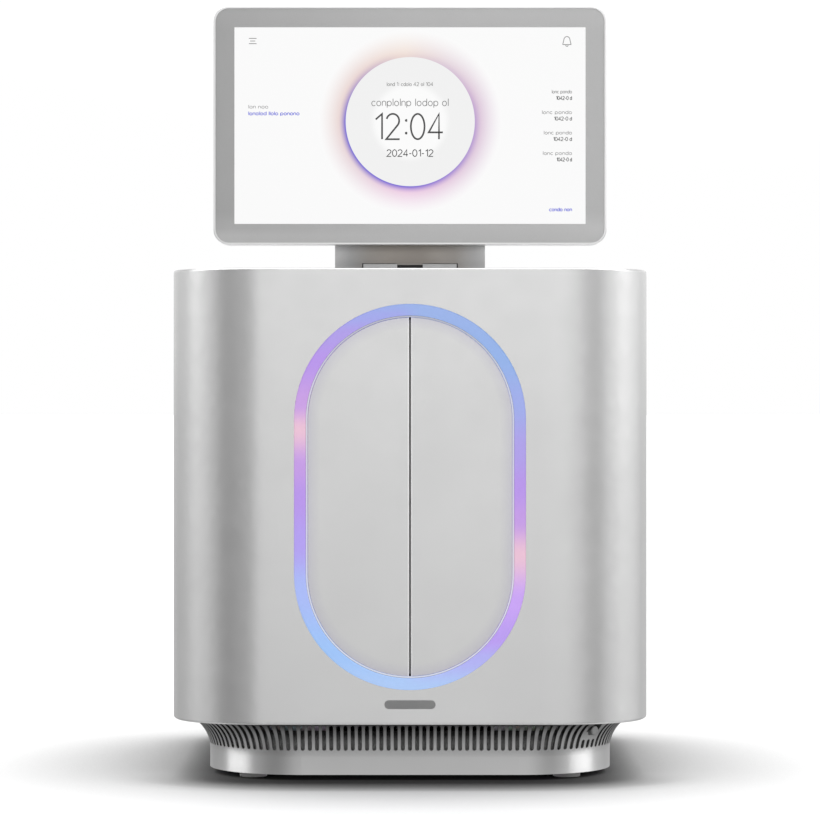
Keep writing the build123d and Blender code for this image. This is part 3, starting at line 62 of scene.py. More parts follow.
class Look:
    """A node material under construction: helpers that add nodes and link them."""

    def __init__(self, name, **settings):
        self.material = bpy.data.materials.new(name)
        self.material.use_nodes = True
        self.tree = self.material.node_tree
        self.shader = self.tree.nodes["Principled BSDF"]
        for socket, value in settings.items():
            self.shader.inputs[socket.replace("_", " ")].default_value = value
        self.place = self.add("ShaderNodeTexCoord").outputs["Object"]

    def add(self, kind, **values):
        node = self.tree.nodes.new(kind)
        for key, value in values.items():
            setattr(node, key, value)
        return node

    def join(self, source, target):
        self.tree.links.new(source, target)

    def stretched(self, scale):
        """Object coordinates scaled along each axis."""
        mapping = self.add("ShaderNodeMapping")
        mapping.inputs["Scale"].default_value = scale
        self.join(self.place, mapping.inputs["Vector"])
        return mapping.outputs["Vector"]

    def noise(self, scale, detail=3.0, stretch=None):
        node = self.add("ShaderNodeTexNoise")
        node.inputs["Scale"].default_value = scale
        node.inputs["Detail"].default_value = detail
        self.join(self.stretched(stretch) if stretch else self.place, node.inputs["Vector"])
        return node.outputs["Fac"]

    def math(self, operation, *values):
        node = self.add("ShaderNodeMath", operation=operation)
        for index, value in enumerate(values):
            if isinstance(value, (int, float)):
                node.inputs[index].default_value = value
            else:
                self.join(value, node.inputs[index])
        return node.outputs[0]

    def ramp(self, factor, stops, interpolation="LINEAR"):
        """A colour ramp through (position, colour) stops."""
        node = self.add("ShaderNodeValToRGB")
        node.color_ramp.interpolation = interpolation
        elements = node.color_ramp.elements
        while len(elements) < len(stops):
            elements.new(0.5)
        for element, (position, colour) in zip(elements, stops):
            element.position = position
            element.color = tuple(colour) + (1.0,) if len(colour) == 3 else colour
        self.join(factor, node.inputs["Fac"])
        return node.outputs["Color"]

    def span(self, value, low, high, to_low=0.0, to_high=1.0, smooth=False):
        node = self.add("ShaderNodeMapRange")
        if smooth:
            node.interpolation_type = "SMOOTHSTEP"
        sockets = ("From Min", "From Max", "To Min", "To Max")
        for socket, number in zip(sockets, (low, high, to_low, to_high)):
            node.inputs[socket].default_value = number
        self.join(value, node.inputs["Value"])
        return node.outputs["Result"]

    def mix(self, factor, a, b, blend="MIX"):
        node = self.add("ShaderNodeMix", data_type="RGBA", blend_type=blend)
        for value, name in ((factor, "Factor"), (a, "A"), (b, "B")):
            socket = node.inputs[name]
            if isinstance(value, (int, float)):
                socket.default_value = value
            elif isinstance(value, tuple):
                socket.default_value = value + (1.0,)
            else:
                self.join(value, socket)
        return node.outputs["Result"]

    def axis(self, name):
        node = self.add("ShaderNodeSeparateXYZ")
        self.join(self.place, node.inputs["Vector"])
        return node.outputs[name]

    def occlusion(self, distance, facing):
        """How open a surface is to one side, counting only what stands nearer than a distance."""
        direction = self.add("ShaderNodeCombineXYZ")
        direction.inputs[0].default_value, direction.inputs[1].default_value = facing[:2]
        direction.inputs[2].default_value = facing[2]
        node = self.add("ShaderNodeAmbientOcclusion", samples=12)
        node.inputs["Distance"].default_value = distance
        self.join(direction.outputs[0], node.inputs["Normal"])
        return node.outputs["AO"]

    def stadium_radius(self, middle, half_straight):
        """Distance from the upright centre line of a stadium in the front view."""
        x = self.axis("X")
        rise = self.math("ABSOLUTE", self.math("SUBTRACT", self.axis("Z"), middle))
        rise = self.math("MAXIMUM", self.math("SUBTRACT", rise, half_straight), 0.0)
        return self.distance(x, rise)

    def distance(self, across, up):
        """Length of a flat vector from its two parts."""
        squares = (self.math("MULTIPLY", part, part) for part in (across, up))
        return self.math("SQRT", self.math("ADD", *squares))

    def bump(self, height, strength, distance):
        node = self.add("ShaderNodeBump")
        node.inputs["Strength"].default_value = strength
        node.inputs["Distance"].default_value = distance
        self.join(height, node.inputs["Height"])
        self.join(node.outputs["Normal"], self.shader.inputs["Normal"])

    def colour(self, source):
        self.join(source, self.shader.inputs["Base Color"])

    def roughness(self, source):
        self.join(source, self.shader.inputs["Roughness"])


def shade(colour, factor):
    """A colour made lighter or darker."""
    return tuple(min(1.0, channel * factor) for channel in colour)


def grey(level, warmth=0.0):
    """A linear grey, warmer above zero."""
    return (level * (1 + warmth), level, level * (1 - warmth))


def srgb(red, green, blue):
    """A linear colour from 0-255 display values."""
    def linear(value):
        value /= 255.0
        return value / 12.92 if value <= 0.04045 else ((value + 0.055) / 1.055) ** 2.4
    return linear(red), linear(green), linear(blue)


# Places in metres where a look changes: heights, distances from the middle, and radii of the doorway.
PLINTH_TOP = 0.0492
FILTER_SEEN = (0.022, 0.044)        # foot and top of the filter behind the slots
NECK_HALF = 0.0634
NECK_FRONT = -0.146
NECK_SEEN = (0.4325, 0.4465)        # the neck's stretch between the case and the display
KNUCKLE_INNER = 0.011
KNUCKLE_SHADE = 0.4311              # top of the painted shadow in the gap between the fixed knuckles
# where the knuckles' collars begin, painted near-black as the shadow of the gaps, and how soft that edge is
COLLAR_EDGE = 0.0395
COLLAR_BLUR = 0.00005
# spans over which the screen glass's painted shade runs across and up its border
GLASS_ACROSS = (-0.17, 0.17)
GLASS_UPRIGHT = (0.447, 0.646)
GLASS_FOOT = (0.4545, 0.4605)       # where the border under the page passes into its sides
SEAM_EDGE = (0.0014, 0.0019)        # distances from the seam within which the painted highlight on its bevel lies and fades out
DOORWAY_Z = 0.2372
DOORWAY_STRAIGHT = 0.1272           # height of the doorway's straight sides
DOOR_TINT = (0.0740, 0.0846)        # radii between which the ring's light is painted onto the doors
LIP_OUTER = 0.0859                  # outside of the ring's thin rear lip
RING_BLEND = 0.012                  # half width of the change between the ring's two sides
RING_LIT = (0.003, 0.0045)          # depth behind the front at which the ring's light ends
SEAM_GLINT = 1.5                    # brightness of the painted highlight on the seam's bevel against the door
FINE_GRAIN = 2600.0
LILAC = srgb(236, 238, 250)


def satin_tone(look, colour, grain=FINE_GRAIN):
    """Soft mottling under a very fine sparkle, with the sparkle's own pattern."""
    fine = look.noise(grain, 2.0)
    mottle = look.ramp(look.noise(14.0, 2.0), [(0.3, shade(colour, 0.975)), (0.7, shade(colour, 1.02))])
    sparkle = look.ramp(fine, [(0.35, shade(colour, 0.8)), (0.65, shade(colour, 1.2))])
    return look.mix(0.03, mottle, sparkle), fine


def satin_gloss(look, fine, roughness, relief=0.05):
    """Slightly uneven gloss over a fine relief."""
    look.roughness(look.span(look.noise(60.0, 4.0), 0.3, 0.7, roughness - 0.02, roughness + 0.02))
    look.bump(fine, relief, 0.00002)


def satin_metal(name, colour, roughness=0.34, metallic=0.92, grain=FINE_GRAIN):
    """Fine satin paint or anodising."""
    look = Look(name, Metallic=metallic)
    tone, fine = satin_tone(look, colour, grain)
    look.colour(tone)
    satin_gloss(look, fine, roughness)
    return look.material


def door_metal(name, colour, roughness):
    """The case's satin with a painted highlight on the bevel along the seam, and the ring's light painted
    faintly onto the doors next to it.
    """
    look = Look(name, Metallic=0.92)
    tone, fine = satin_tone(look, colour)
    from_seam = look.math("ABSOLUTE", look.axis("X"))
    # painted highlight: the door's colour made brighter on the real bevel on each side of the seam
    seam_highlight = look.span(from_seam, *SEAM_EDGE, 1.0, 0.0)
    tone = look.mix(seam_highlight, tone, shade(colour, SEAM_GLINT))
    # painted light: the doors turn lilac and a little darker towards the ring, as if lit by it
    near_ring = look.span(look.stadium_radius(DOORWAY_Z, DOORWAY_STRAIGHT / 2), *DOOR_TINT)
    painted_ring_light = look.ramp(near_ring, [(0.0, grey(1.0)), (0.5, (0.95, 0.945, 0.975)), (0.9, (0.90, 0.885, 0.96)),
                                 (1.0, (0.86, 0.86, 1.0))])
    look.colour(look.mix(1.0, tone, painted_ring_light, "MULTIPLY"))
    satin_gloss(look, fine, roughness)
    return look.material


def mount_paint(name, colour):
    """Pale satin knuckles with the collars at their outer ends painted near-black as the shadow in the gaps
    beside the knuckles.
    """
    look = Look(name, Metallic=0.6)
    from_middle = look.math("ABSOLUTE", look.axis("X"))
    # painted shadow: near-black beyond the collar's edge, where the gaps beside the knuckles lie in shade
    outer = look.span(from_middle, COLLAR_EDGE - COLLAR_BLUR, COLLAR_EDGE + COLLAR_BLUR)
    tone = look.ramp(look.noise(40.0, 2.0), [(0.3, shade(colour, 0.97)), (0.7, shade(colour, 1.02))])
    look.colour(look.mix(outer, tone, grey(0.03)))
    look.roughness(look.span(look.noise(80.0, 4.0), 0.3, 0.7, 0.36, 0.44))
    return look.material


def plinth_metal(name, colour, roughness):
    """The case's satin, with painted shade darkening it towards the top of the plinth under the case's
    overhang.
    """
    look = Look(name, Metallic=0.92)
    tone, fine = satin_tone(look, colour)
    height = look.span(look.axis("Z"), 0.0, PLINTH_TOP)
    # painted shade: the overhang's shadow on the plinth's upper part
    under = look.ramp(height, [(0.0, grey(1.0)), (0.42, grey(0.92)), (0.55, grey(0.80)), (0.75, grey(0.45)),
                               (0.95, grey(0.22))])
    look.colour(look.mix(1.0, tone, under, "MULTIPLY"))
    satin_gloss(look, fine, roughness, 0.12)
    return look.material


def neck_paint(name, level, roughness):
    """Satin paint at a grey level, paler towards the neck's sides on its front face as painted light, with
    painted shade darkening it towards its foot and a painted shadow in the gap between the knuckles.
    """
    look = Look(name, Metallic=0.8)
    across = look.span(look.axis("X"), -NECK_HALF, NECK_HALF)
    # painted light: the front face lighter at its sides and darker, warmer in the middle, where the display's
    # overhang shades it
    edges = look.ramp(across, [
        (0.0, grey(level * 1.75)), (0.10, grey(level * 1.33)), (0.22, grey(level * 1.05, 0.06)),
        (0.35, grey(level, 0.09)), (0.6, grey(level * 0.97, 0.09)), (0.8, grey(level * 1.12, 0.06)),
        (0.93, grey(level * 1.5)), (1.0, grey(level * 1.8))])
    facing = look.span(look.axis("Y"), NECK_FRONT, NECK_FRONT + 0.002, 1.0, 0.0)
    tone = look.mix(facing, grey(level * 1.3), edges)
    # painted shade: the neck darker towards its foot
    rise = look.span(look.axis("Z"), *NECK_SEEN)
    shaded = look.ramp(rise, [(0.0, grey(0.72)), (0.6, grey(0.93)), (1.0, grey(1.0))])
    tone = look.mix(1.0, tone, shaded, "MULTIPLY")
    # painted shadow: near-black in the gap between the fixed knuckles
    middle = look.math("LESS_THAN", look.math("ABSOLUTE", look.axis("X")), KNUCKLE_INNER)
    low = look.math("LESS_THAN", look.axis("Z"), KNUCKLE_SHADE)
    tone = look.mix(look.math("MULTIPLY", middle, low), tone, grey(0.03))
    fine = look.ramp(look.noise(2400.0, 2.0), [(0.35, grey(0.93)), (0.65, grey(1.0))])
    look.colour(look.mix(1.0, tone, fine, "MULTIPLY"))
    look.roughness(look.span(look.noise(60.0, 4.0), 0.3, 0.7, roughness - 0.03, roughness + 0.03))
    return look.material


def brushed_metal(name, colour, roughness=0.3, stretch=(1.0, 1.0, 60.0)):
    """Metal with fine parallel grinding lines."""
    look = Look(name, Metallic=1.0)
    lines = look.noise(90.0, 6.0, stretch)
    look.colour(look.ramp(lines, [(0.3, shade(colour, 0.82)), (0.7, shade(colour, 1.08))]))
    look.roughness(look.span(lines, 0.3, 0.7, roughness - 0.06, roughness + 0.1))
    look.bump(lines, 0.15, 0.00004)
    return look.material


def galvanised(name, colour):
    """Zinc-coated sheet with faint crystals."""
    look = Look(name, Metallic=0.95)
    cells = look.add("ShaderNodeTexVoronoi")
    cells.inputs["Scale"].default_value = 110.0
    look.join(look.place, cells.inputs["Vector"])
    tone = look.ramp(look.noise(30.0), [(0.3, shade(colour, 0.9)), (0.7, shade(colour, 1.05))])
    look.colour(look.mix(0.25, tone, cells.outputs["Color"], "SOFT_LIGHT"))
    look.roughness(look.span(cells.outputs["Distance"], 0.0, 0.01, 0.36, 0.5))
    return look.material


def moulded(name, colour, roughness=0.5, grain=1500.0, depth=0.00003):
    """Moulded plastic with a fine spark-eroded texture."""
    look = Look(name)
    texture = look.noise(grain, 3.0)
    tone = look.noise(25.0, 2.0)
    look.colour(look.ramp(tone, [(0.3, shade(colour, 0.94)), (0.7, shade(colour, 1.05))]))
    look.roughness(look.span(texture, 0.3, 0.7, roughness - 0.05, roughness + 0.07))
    look.bump(texture, 0.3, depth)
    return look.material


def rubber(name, colour):
    """Soft rubber, dull, with faint dust towards the bench."""
    look = Look(name)
    dust = look.span(look.axis("Z"), 0.0, 0.003, 0.35, 0.0)
    look.colour(look.mix(dust, colour, shade(colour, 1.5)))
    look.roughness(look.span(look.noise(300.0), 0.3, 0.7, 0.6, 0.75))
    look.bump(look.noise(1200.0), 0.35, 0.00005)
    return look.material


def foam(name, colour):
    """Open-cell filter foam, painted darker towards its top as the shade under the case's overhang."""
    look = Look(name, Roughness=0.95)
    cells = look.add("ShaderNodeTexVoronoi", feature="DISTANCE_TO_EDGE")
    cells.inputs["Scale"].default_value = 900.0
    look.join(look.place, cells.inputs["Vector"])
    walls = [(0.0, shade(colour, 1.25)), (0.12, shade(colour, 0.7))]
    open_cells = look.ramp(cells.outputs["Distance"], walls)
    # painted shade: the foam darkens towards its top under the overhang
    painted_top_shade = look.ramp(look.span(look.axis("Z"), *FILTER_SEEN),
                     [(0.0, grey(1.0)), (0.45, grey(0.75)), (0.72, grey(0.12)), (0.9, grey(0.03))])
    look.colour(look.mix(1.0, open_cells, painted_top_shade, "MULTIPLY"))
    look.bump(cells.outputs["Distance"], 0.6, 0.0003)
    return look.material


def circuit_board(name, colour):
    """Solder mask with a pattern of paler tracks."""
    look = Look(name)
    tracks = look.add("ShaderNodeTexBrick", offset=0.37)
    tracks.inputs["Scale"].default_value = 160.0
    tracks.inputs["Mortar Size"].default_value = 0.03
    tracks.inputs["Color1"].default_value = shade(colour, 0.85) + (1.0,)
    tracks.inputs["Color2"].default_value = colour + (1.0,)
    tracks.inputs["Mortar"].default_value = shade(colour, 1.9) + (1.0,)
    look.join(look.place, tracks.inputs["Vector"])
    look.colour(tracks.outputs["Color"])
    look.roughness(look.span(look.noise(200.0), 0.3, 0.7, 0.3, 0.42))
    look.bump(tracks.outputs["Fac"], 0.2, 0.00005)
    return look.material


def clear_glass(name, colour):
    """Thin clear glass with faint smears."""
    look = Look(name, Alpha=0.45, IOR=1.5, Transmission_Weight=0.0)
    look.colour(look.ramp(look.noise(40.0), [(0.3, shade(colour, 0.95)), (0.7, colour)]))
    look.roughness(look.span(look.noise(70.0, 5.0), 0.4, 0.8, 0.04, 0.14))
    return look.material


def printed_glass(name, colour):
    """Cover glass printed grey behind: a smooth top over a slightly mottled print, with painted shade darker
    towards its left and above the lower border.
    """
    look = Look(name, Coat_Weight=0.35, Coat_Roughness=0.08)
    across = look.span(look.axis("X"), *GLASS_ACROSS)
    # painted shade: the border darker towards its left side
    sides = [(0.0, shade(colour, 0.76)), (0.5, shade(colour, 0.98)), (1.0, shade(colour, 1.02))]
    tone = look.ramp(across, sides)
    low = look.span(look.axis("Z"), *GLASS_FOOT, 1.0, 0.0)
    # painted shade along the lower border, darker towards its left
    along = look.ramp(across, [(0.0, shade(colour, 0.93)), (0.4, colour)])
    tone = look.mix(low, tone, along)
    speck = look.ramp(look.noise(1800.0, 2.0), [(0.35, grey(0.9)), (0.65, grey(1.0))])
    tone = look.mix(0.5, tone, speck, "MULTIPLY")
    # painted shade: the border darker above its lower edge
    upright = look.ramp(look.span(look.axis("Z"), *GLASS_UPRIGHT),
                        [(0.0, grey(1.0)), (0.07, grey(1.0)), (0.14, grey(0.85)), (0.9, grey(0.85)),
                         (0.97, grey(0.90))])
    look.colour(look.mix(1.0, tone, upright, "MULTIPLY"))
    look.roughness(look.span(look.noise(35.0, 4.0), 0.3, 0.8, 0.28, 0.36))
    return look.material


BLUE = srgb(160, 200, 255)
PALE_BLUE = srgb(177, 208, 255)
VIOLET = srgb(187, 149, 240)
ORCHID = srgb(200, 156, 235)
PINK = srgb(240, 196, 218)
SKY = srgb(147, 180, 237)
# The ring's colours from its foot to its top: (share of the height, colour).
RING_LEFT = [
    (0.0, PALE_BLUE), (0.10, BLUE), (0.26, srgb(172, 190, 254)), (0.38, srgb(181, 160, 247)),
    (0.50, VIOLET), (0.58, ORCHID), (0.675, PINK), (0.74, srgb(205, 160, 233)), (0.85, VIOLET),
    (0.92, srgb(178, 158, 238)), (0.97, srgb(163, 170, 240)), (1.0, srgb(155, 178, 238))]
RING_RIGHT = [
    (0.0, PALE_BLUE), (0.08, srgb(181, 180, 250)), (0.13, srgb(190, 158, 248)),
    (0.23, srgb(205, 165, 252)), (0.35, PINK), (0.44, ORCHID), (0.52, VIOLET), (0.62, srgb(176, 160, 238)),
    (0.74, srgb(160, 174, 239)), (0.86, SKY), (1.0, srgb(155, 181, 238))]


def ring_glow(name):
    """Lit diffuser: the colour runs from sky blue through violet to a pink spot, lower on the right."""
    look = Look(name, Roughness=0.45)
    low, high = (corner.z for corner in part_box("light_ring"))
    height = look.span(look.axis("Z"), low, high)
    left = look.ramp(height, RING_LEFT, "EASE")
    right = look.ramp(height, RING_RIGHT, "EASE")
    side = look.span(look.axis("X"), -RING_BLEND, RING_BLEND, smooth=True)
    glow = look.mix(side, left, right)
    grain = look.ramp(look.noise(500.0, 2.0), [(0.3, grey(0.97)), (0.7, grey(1.0))])
    glow = look.mix(1.0, glow, grain, "MULTIPLY")
    # the thin rear lip glows lilac in the gap by the doors, with painted shade darkening it towards the top
    lip = look.ramp(height, [(0.0, LILAC), (0.80, shade(LILAC, 0.9)), (0.93, shade(LILAC, 0.7)),
                             (1.0, shade(LILAC, 0.6))])
    lit_lip = look.math("LESS_THAN", look.stadium_radius(DOORWAY_Z, DOORWAY_STRAIGHT / 2), LIP_OUTER)
    ends = (CAD_BOX[0].y + depth for depth in RING_LIT)
    front = look.span(look.axis("Y"), *ends, 1.0, 0.0)
    shown = look.mix(lit_lip, look.mix(front, (0.0, 0.0, 0.0), glow), lip)
    look.colour(look.mix(0.85, glow, (0.02, 0.02, 0.02)))
    look.join(shown, look.shader.inputs["Emission Color"])
    look.shader.inputs["Emission Strength"].default_value = 0.8
    return look.material


# ---------------------------------------------------------------- which look each slot gets

SILVER = grey(0.66)

LOOKS = {
    "case_satin": lambda: satin_metal("case_satin", SILVER, 0.25),
    "cover_satin": lambda: satin_metal("cover_satin", shade(SILVER, 0.98), 0.30),
    "door_satin": lambda: door_metal("door_satin", SILVER, 0.25),
    "plinth_satin": lambda: plinth_metal("plinth_satin", grey(0.55), 0.30),
    "rear_metal": lambda: satin_metal("rear_metal", grey(0.20), 0.45, 0.6, 900.0),
    "sheet_steel": lambda: galvanised("sheet_steel", grey(0.42)),
    "filter_grey": lambda: foam("filter_grey", grey(0.62)),
    "foot_grey": lambda: rubber("foot_grey", grey(0.50)),
    "badge_grey": lambda: moulded("badge_grey", grey(0.27), 0.3),
    "ring_glow": lambda: ring_glow("ring_glow"),
    "circuit_board": lambda: circuit_board("circuit_board", (0.02, 0.12, 0.06)),
    "dark_plastic": lambda: moulded("dark_plastic", grey(0.018)),
    "grey_plastic": lambda: moulded("grey_plastic", grey(0.22)),
    "white_plastic": lambda: moulded("white_plastic", grey(0.6, 0.01)),
    "blue_plastic": lambda: moulded("blue_plastic", (0.03, 0.10, 0.34), 0.35),
    "hinge_zinc": lambda: satin_metal("hinge_zinc", grey(0.12), 0.45, 0.8, 1200.0),
    "pin_steel": lambda: brushed_metal("pin_steel", grey(0.55)),
    "magnet_nickel": lambda: brushed_metal("magnet_nickel", grey(0.66, 0.02), 0.15),
    "tray_grey": lambda: satin_metal("tray_grey", grey(0.32), 0.5, 0.3, 900.0),
    "aluminium": lambda: brushed_metal("aluminium", grey(0.62, -0.01), 0.34, (1.0, 50.0, 1.0)),
    "black_anodised": lambda: satin_metal("black_anodised", grey(0.03), 0.4, 0.7, 1500.0),
    "flow_cell_glass": lambda: clear_glass("flow_cell_glass", (0.55, 0.66, 0.70)),
    "screen_glass": lambda: printed_glass("screen_glass", grey(0.576)),
    "lcd_dark": lambda: moulded("lcd_dark", grey(0.02), 0.3),
    "display_rim": lambda: satin_metal("display_rim", grey(0.78), 0.3, 0.95, 2400.0),
    "display_shell": lambda: moulded("display_shell", grey(0.38), 0.42),
    "neck_satin": lambda: neck_paint("neck_satin", 0.41, 0.38),
    "button_satin": lambda: satin_metal("button_satin", grey(0.24), 0.42),
}

# Nodes whose finish differs from the rest of their slot.
NODE_LOOKS = {
    "display_mount": lambda: mount_paint("mount_grey", grey(0.66)),
}


def finish_cad_nodes():
    """Every CAD node takes the look of its slot in the record, or its own."""
    made = {}
    for entry in frame["record"]["subparts"]:
        name, slot = entry["node"], entry["material_slot"]
        key = name if name in NODE_LOOKS else slot
        if key not in made:
            made[key] = NODE_LOOKS.get(name, LOOKS[slot])()
        node = frame["nodes"][name]
        node.data.materials.clear()
        node.data.materials.append(made[key])


# ---------------------------------------------------------------- the page on the screen

PAGE_HALF_X = 146.8 * MM
PAGE_LOW, PAGE_HIGH = 464.2 * MM, 628.6 * MM
PAGE_FRONT = -181.06 * MM
INK_FRONT = -181.20 * MM
LAYER = 0.05 * MM
DIAL_CENTRE = (0.2 * MM, 549.7 * MM)
DIAL_RADIUS = 54.0
DIAL_GLOW_RADIUS = 77.0
SCREEN_POWER = 0.92
PAGE_WHITE = grey(0.99)
TEXT_GREY = grey(0.22)
TEXT_DARK = grey(0.05)
TEXT_BLUE = srgb(70, 80, 220)


def arc(centre, radii, start, end, steps=16):
    """Points along an arc, angles in degrees."""
    angles = [math.radians(start + (end - start) * i / steps) for i in range(steps + 1)]
    return [(centre[0] + radii[0] * math.cos(a), centre[1] + radii[1] * math.sin(a)) for a in angles]


# Strokes of each mark in units of its height. Words are drawn with marks that only look like writing.
MARKS = {
    "0": [arc((0.28, 0.5), (0.28, 0.5), 0, 360, 28)],
    "1": [[(0.04, 0.78), (0.30, 1.0), (0.30, 0.0)]],
    "2": [arc((0.27, 0.73), (0.26, 0.27), 165, -38) + [(0.0, 0.0), (0.55, 0.0)]],
    "4": [[(0.42, 0.0), (0.42, 1.0), (0.0, 0.27), (0.58, 0.27)]],
    ":": [arc((0.1, 0.74), (0.018, 0.018), 0, 360, 8), arc((0.1, 0.24), (0.018, 0.018), 0, 360, 8)],
    "-": [[(0.0, 0.42), (0.28, 0.42)]],
    "o": [arc((0.24, 0.33), (0.24, 0.33), 0, 360)],
    "c": [arc((0.24, 0.33), (0.24, 0.33), 45, 315)],
    "n": [[(0.0, 0.0), (0.0, 0.64)], arc((0.2, 0.42), (0.2, 0.24), 180, 0) + [(0.4, 0.0)]],
    "l": [[(0.03, 0.0), (0.03, 1.0)]],
    "d": [arc((0.24, 0.33), (0.24, 0.33), 0, 360), [(0.48, 0.0), (0.48, 1.0)]],
    "p": [arc((0.24, 0.33), (0.24, 0.33), 0, 360), [(0.0, 0.64), (0.0, -0.25)]],
    " ": [],
}
MARK_GAP = 0.17
SPACE = 0.35


def written(text, place, height, length, align="left"):
    """Strokes of a line of marks stretched to a length; place is the left, centre or right of its foot."""
    strokes, pen = [], 0.0
    for mark in text:
        lines = MARKS[mark]
        strokes += [[(x + pen, z) for x, z in line] for line in lines]
        pen += max([x for line in lines for x, z in line], default=SPACE - MARK_GAP) + MARK_GAP
    stretch = length / (pen - MARK_GAP)
    shift = {"left": 0.0, "centre": -length / 2, "right": -length}[align]
    return [[(place[0] + shift + x * stretch, place[1] + z * height) for x, z in line] for line in strokes]


def offset_line(points, half_width):
    """Left and right edges of a flat ribbon along a line."""
    left, right = [], []
    for i, point in enumerate(points):
        before = Vector(points[max(i - 1, 0)])
        after = Vector(points[min(i + 1, len(points) - 1)])
        here = Vector(point)
        into = (here - before).normalized() if i else (after - here).normalized()
        out = (after - here).normalized() if i < len(points) - 1 else into
        normal = Vector((-(into + out).y, (into + out).x)).normalized()
        reach = half_width / max(0.45, normal.dot(Vector((-into.y, into.x))))
        left.append(here + normal * reach)
        right.append(here - normal * reach)
    return left, right


def ribbons(name, strokes, width, front, material):
    """Thin flat ribbons along strokes in the screen's plane, all in one piece."""
    builder = bmesh.new()
    for stroke in strokes:
        left, right = offset_line([(x * MM, z * MM) for x, z in stroke], width * MM / 2)
        rows = [(builder.verts.new((a.x, front, a.y)), builder.verts.new((b.x, front, b.y)))
                for a, b in zip(left, right)]
        for (a, b), (c, d) in zip(rows, rows[1:]):
            builder.faces.new((a, b, d, c))
    return screen_piece(name, builder, material)


def screen_piece(name, builder, material):
    """Turns flat faces into a thin sheet that rides on the display."""
    bmesh.ops.recalc_face_normals(builder, faces=builder.faces)
    mesh = bpy.data.meshes.new(name)
    builder.to_mesh(mesh)
    builder.free()
    mesh.materials.append(material)
    piece = bpy.data.objects.new(name, mesh)
    bpy.context.scene.collection.objects.link(piece)
    sheet = piece.modifiers.new("sheet", "SOLIDIFY")
    sheet.thickness = LAYER
    sheet.offset = 0.0
    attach(piece, "display")
    return piece


def disc(name, centre, radius, front, material, segments=96):
    builder = bmesh.new()
    rim = [builder.verts.new((centre[0] + x * MM, front, centre[1] + z * MM))
           for x, z in arc((0, 0), (radius, radius), 0, 360, segments)[:-1]]
    builder.faces.new(rim)
    return screen_piece(name, builder, material)


def sheet_rectangle(name, low, high, front, material):
    builder = bmesh.new()
    corners = ((low[0], low[1]), (high[0], low[1]), (high[0], high[1]), (low[0], high[1]))
    builder.faces.new([builder.verts.new((x, front, z)) for x, z in corners])
    return screen_piece(name, builder, material)


def lit(name, colour):
    """Lit screen colour with the faintest pixel grain."""
    look = Look(name, Roughness=0.35)
    grain = look.ramp(look.noise(2500.0, 1.0), [(0.3, shade(colour, 0.985)), (0.7, colour)])
    look.colour(look.mix(0.98, grain, (0.0, 0.0, 0.0)))
    look.join(grain, look.shader.inputs["Emission Color"])
    look.shader.inputs["Emission Strength"].default_value = SCREEN_POWER
    return look.material


def dial_look():
    """The round dial: pale inside, a blue edge and a soft glow, peach on the left and pink on the right."""
    look = Look("dial_glow", Roughness=0.35)
    x = look.math("SUBTRACT", look.axis("X"), DIAL_CENTRE[0])
    z = look.math("SUBTRACT", look.axis("Z"), DIAL_CENTRE[1])
    radius = look.distance(x, z)
    turn = look.span(look.math("ARCTAN2", z, x), -math.pi, math.pi)
    haze = look.ramp(turn, [
        (0.0, srgb(228, 198, 194)), (0.12, srgb(226, 198, 210)), (0.24, srgb(236, 186, 222)),
        (0.40, srgb(214, 178, 210)), (0.54, srgb(212, 178, 208)), (0.66, srgb(226, 206, 216)),
        (0.76, srgb(242, 222, 210)), (0.88, srgb(230, 201, 195)), (1.0, srgb(228, 198, 194))])
    edge = look.ramp(turn, [
        (0.0, grey(1.0)), (0.25, grey(1.0)), (0.34, grey(0.75)), (0.42, grey(0.45)), (0.50, grey(0.3)),
        (0.58, grey(0.12)), (0.78, grey(0.08)), (0.88, grey(0.4)), (1.0, grey(1.0))])
    fade = look.math("POWER", look.span(radius, DIAL_RADIUS * MM, DIAL_GLOW_RADIUS * MM, 1.0, 0.0), 1.35)
    outside = look.mix(fade, PAGE_WHITE, haze)
    rim = look.math("POWER", look.span(radius, DIAL_RADIUS * MM, (DIAL_RADIUS + 6.0) * MM, 1.0, 0.0), 1.6)
    outside = look.mix(look.math("MULTIPLY", rim, edge), outside, srgb(92, 84, 214))
    inside = look.mix(look.span(radius, 27.0 * MM, 35.0 * MM, smooth=True), PAGE_WHITE, grey(0.90))
    shown = look.mix(look.span(radius, (DIAL_RADIUS - 0.15) * MM, (DIAL_RADIUS + 0.15) * MM), inside, outside)
    look.colour(look.mix(0.98, shown, (0.0, 0.0, 0.0)))
    look.join(shown, look.shader.inputs["Emission Color"])
    look.shader.inputs["Emission Strength"].default_value = SCREEN_POWER
    return look.material


def bell_icon(centre, size):
    """Outline of a small bell."""
    x, z = centre
    dome = arc((x, z + 0.12 * size), (0.32 * size, 0.36 * size), 0, 180, 12)
    body = [(x + 0.44 * size, z - 0.36 * size)] + dome + [(x - 0.44 * size, z - 0.36 * size)]
    return [body, [(x - 0.44 * size, z - 0.36 * size), (x + 0.44 * size, z - 0.36 * size)],
            arc((x, z - 0.40 * size), (0.14 * size, 0.14 * size), 190, 350, 6)]


def menu_icon(centre):
    x, z = centre
    bars = ((3.2, 2.2), (2.1, 0.0), (3.2, -2.2))
    return [[(x - half, z + rise), (x + half, z + rise)] for half, rise in bars]


def reading_lines(right_edge):
    """Four right-aligned pairs of short lines."""
    pairs = ((573.4, 16.5, 13.0), (556.2, 24.7, 14.7), (539.1, 23.2, 15.4), (522.0, 24.0, 12.6))
    names, values = [], []
    for z, name_length, value_length in pairs:
        names += written("lonc pondo", (right_edge, z), 2.9, name_length, "right")
        values += written("1042-0 d", (right_edge, z - 5.4), 2.9, value_length, "right")
    return names, values


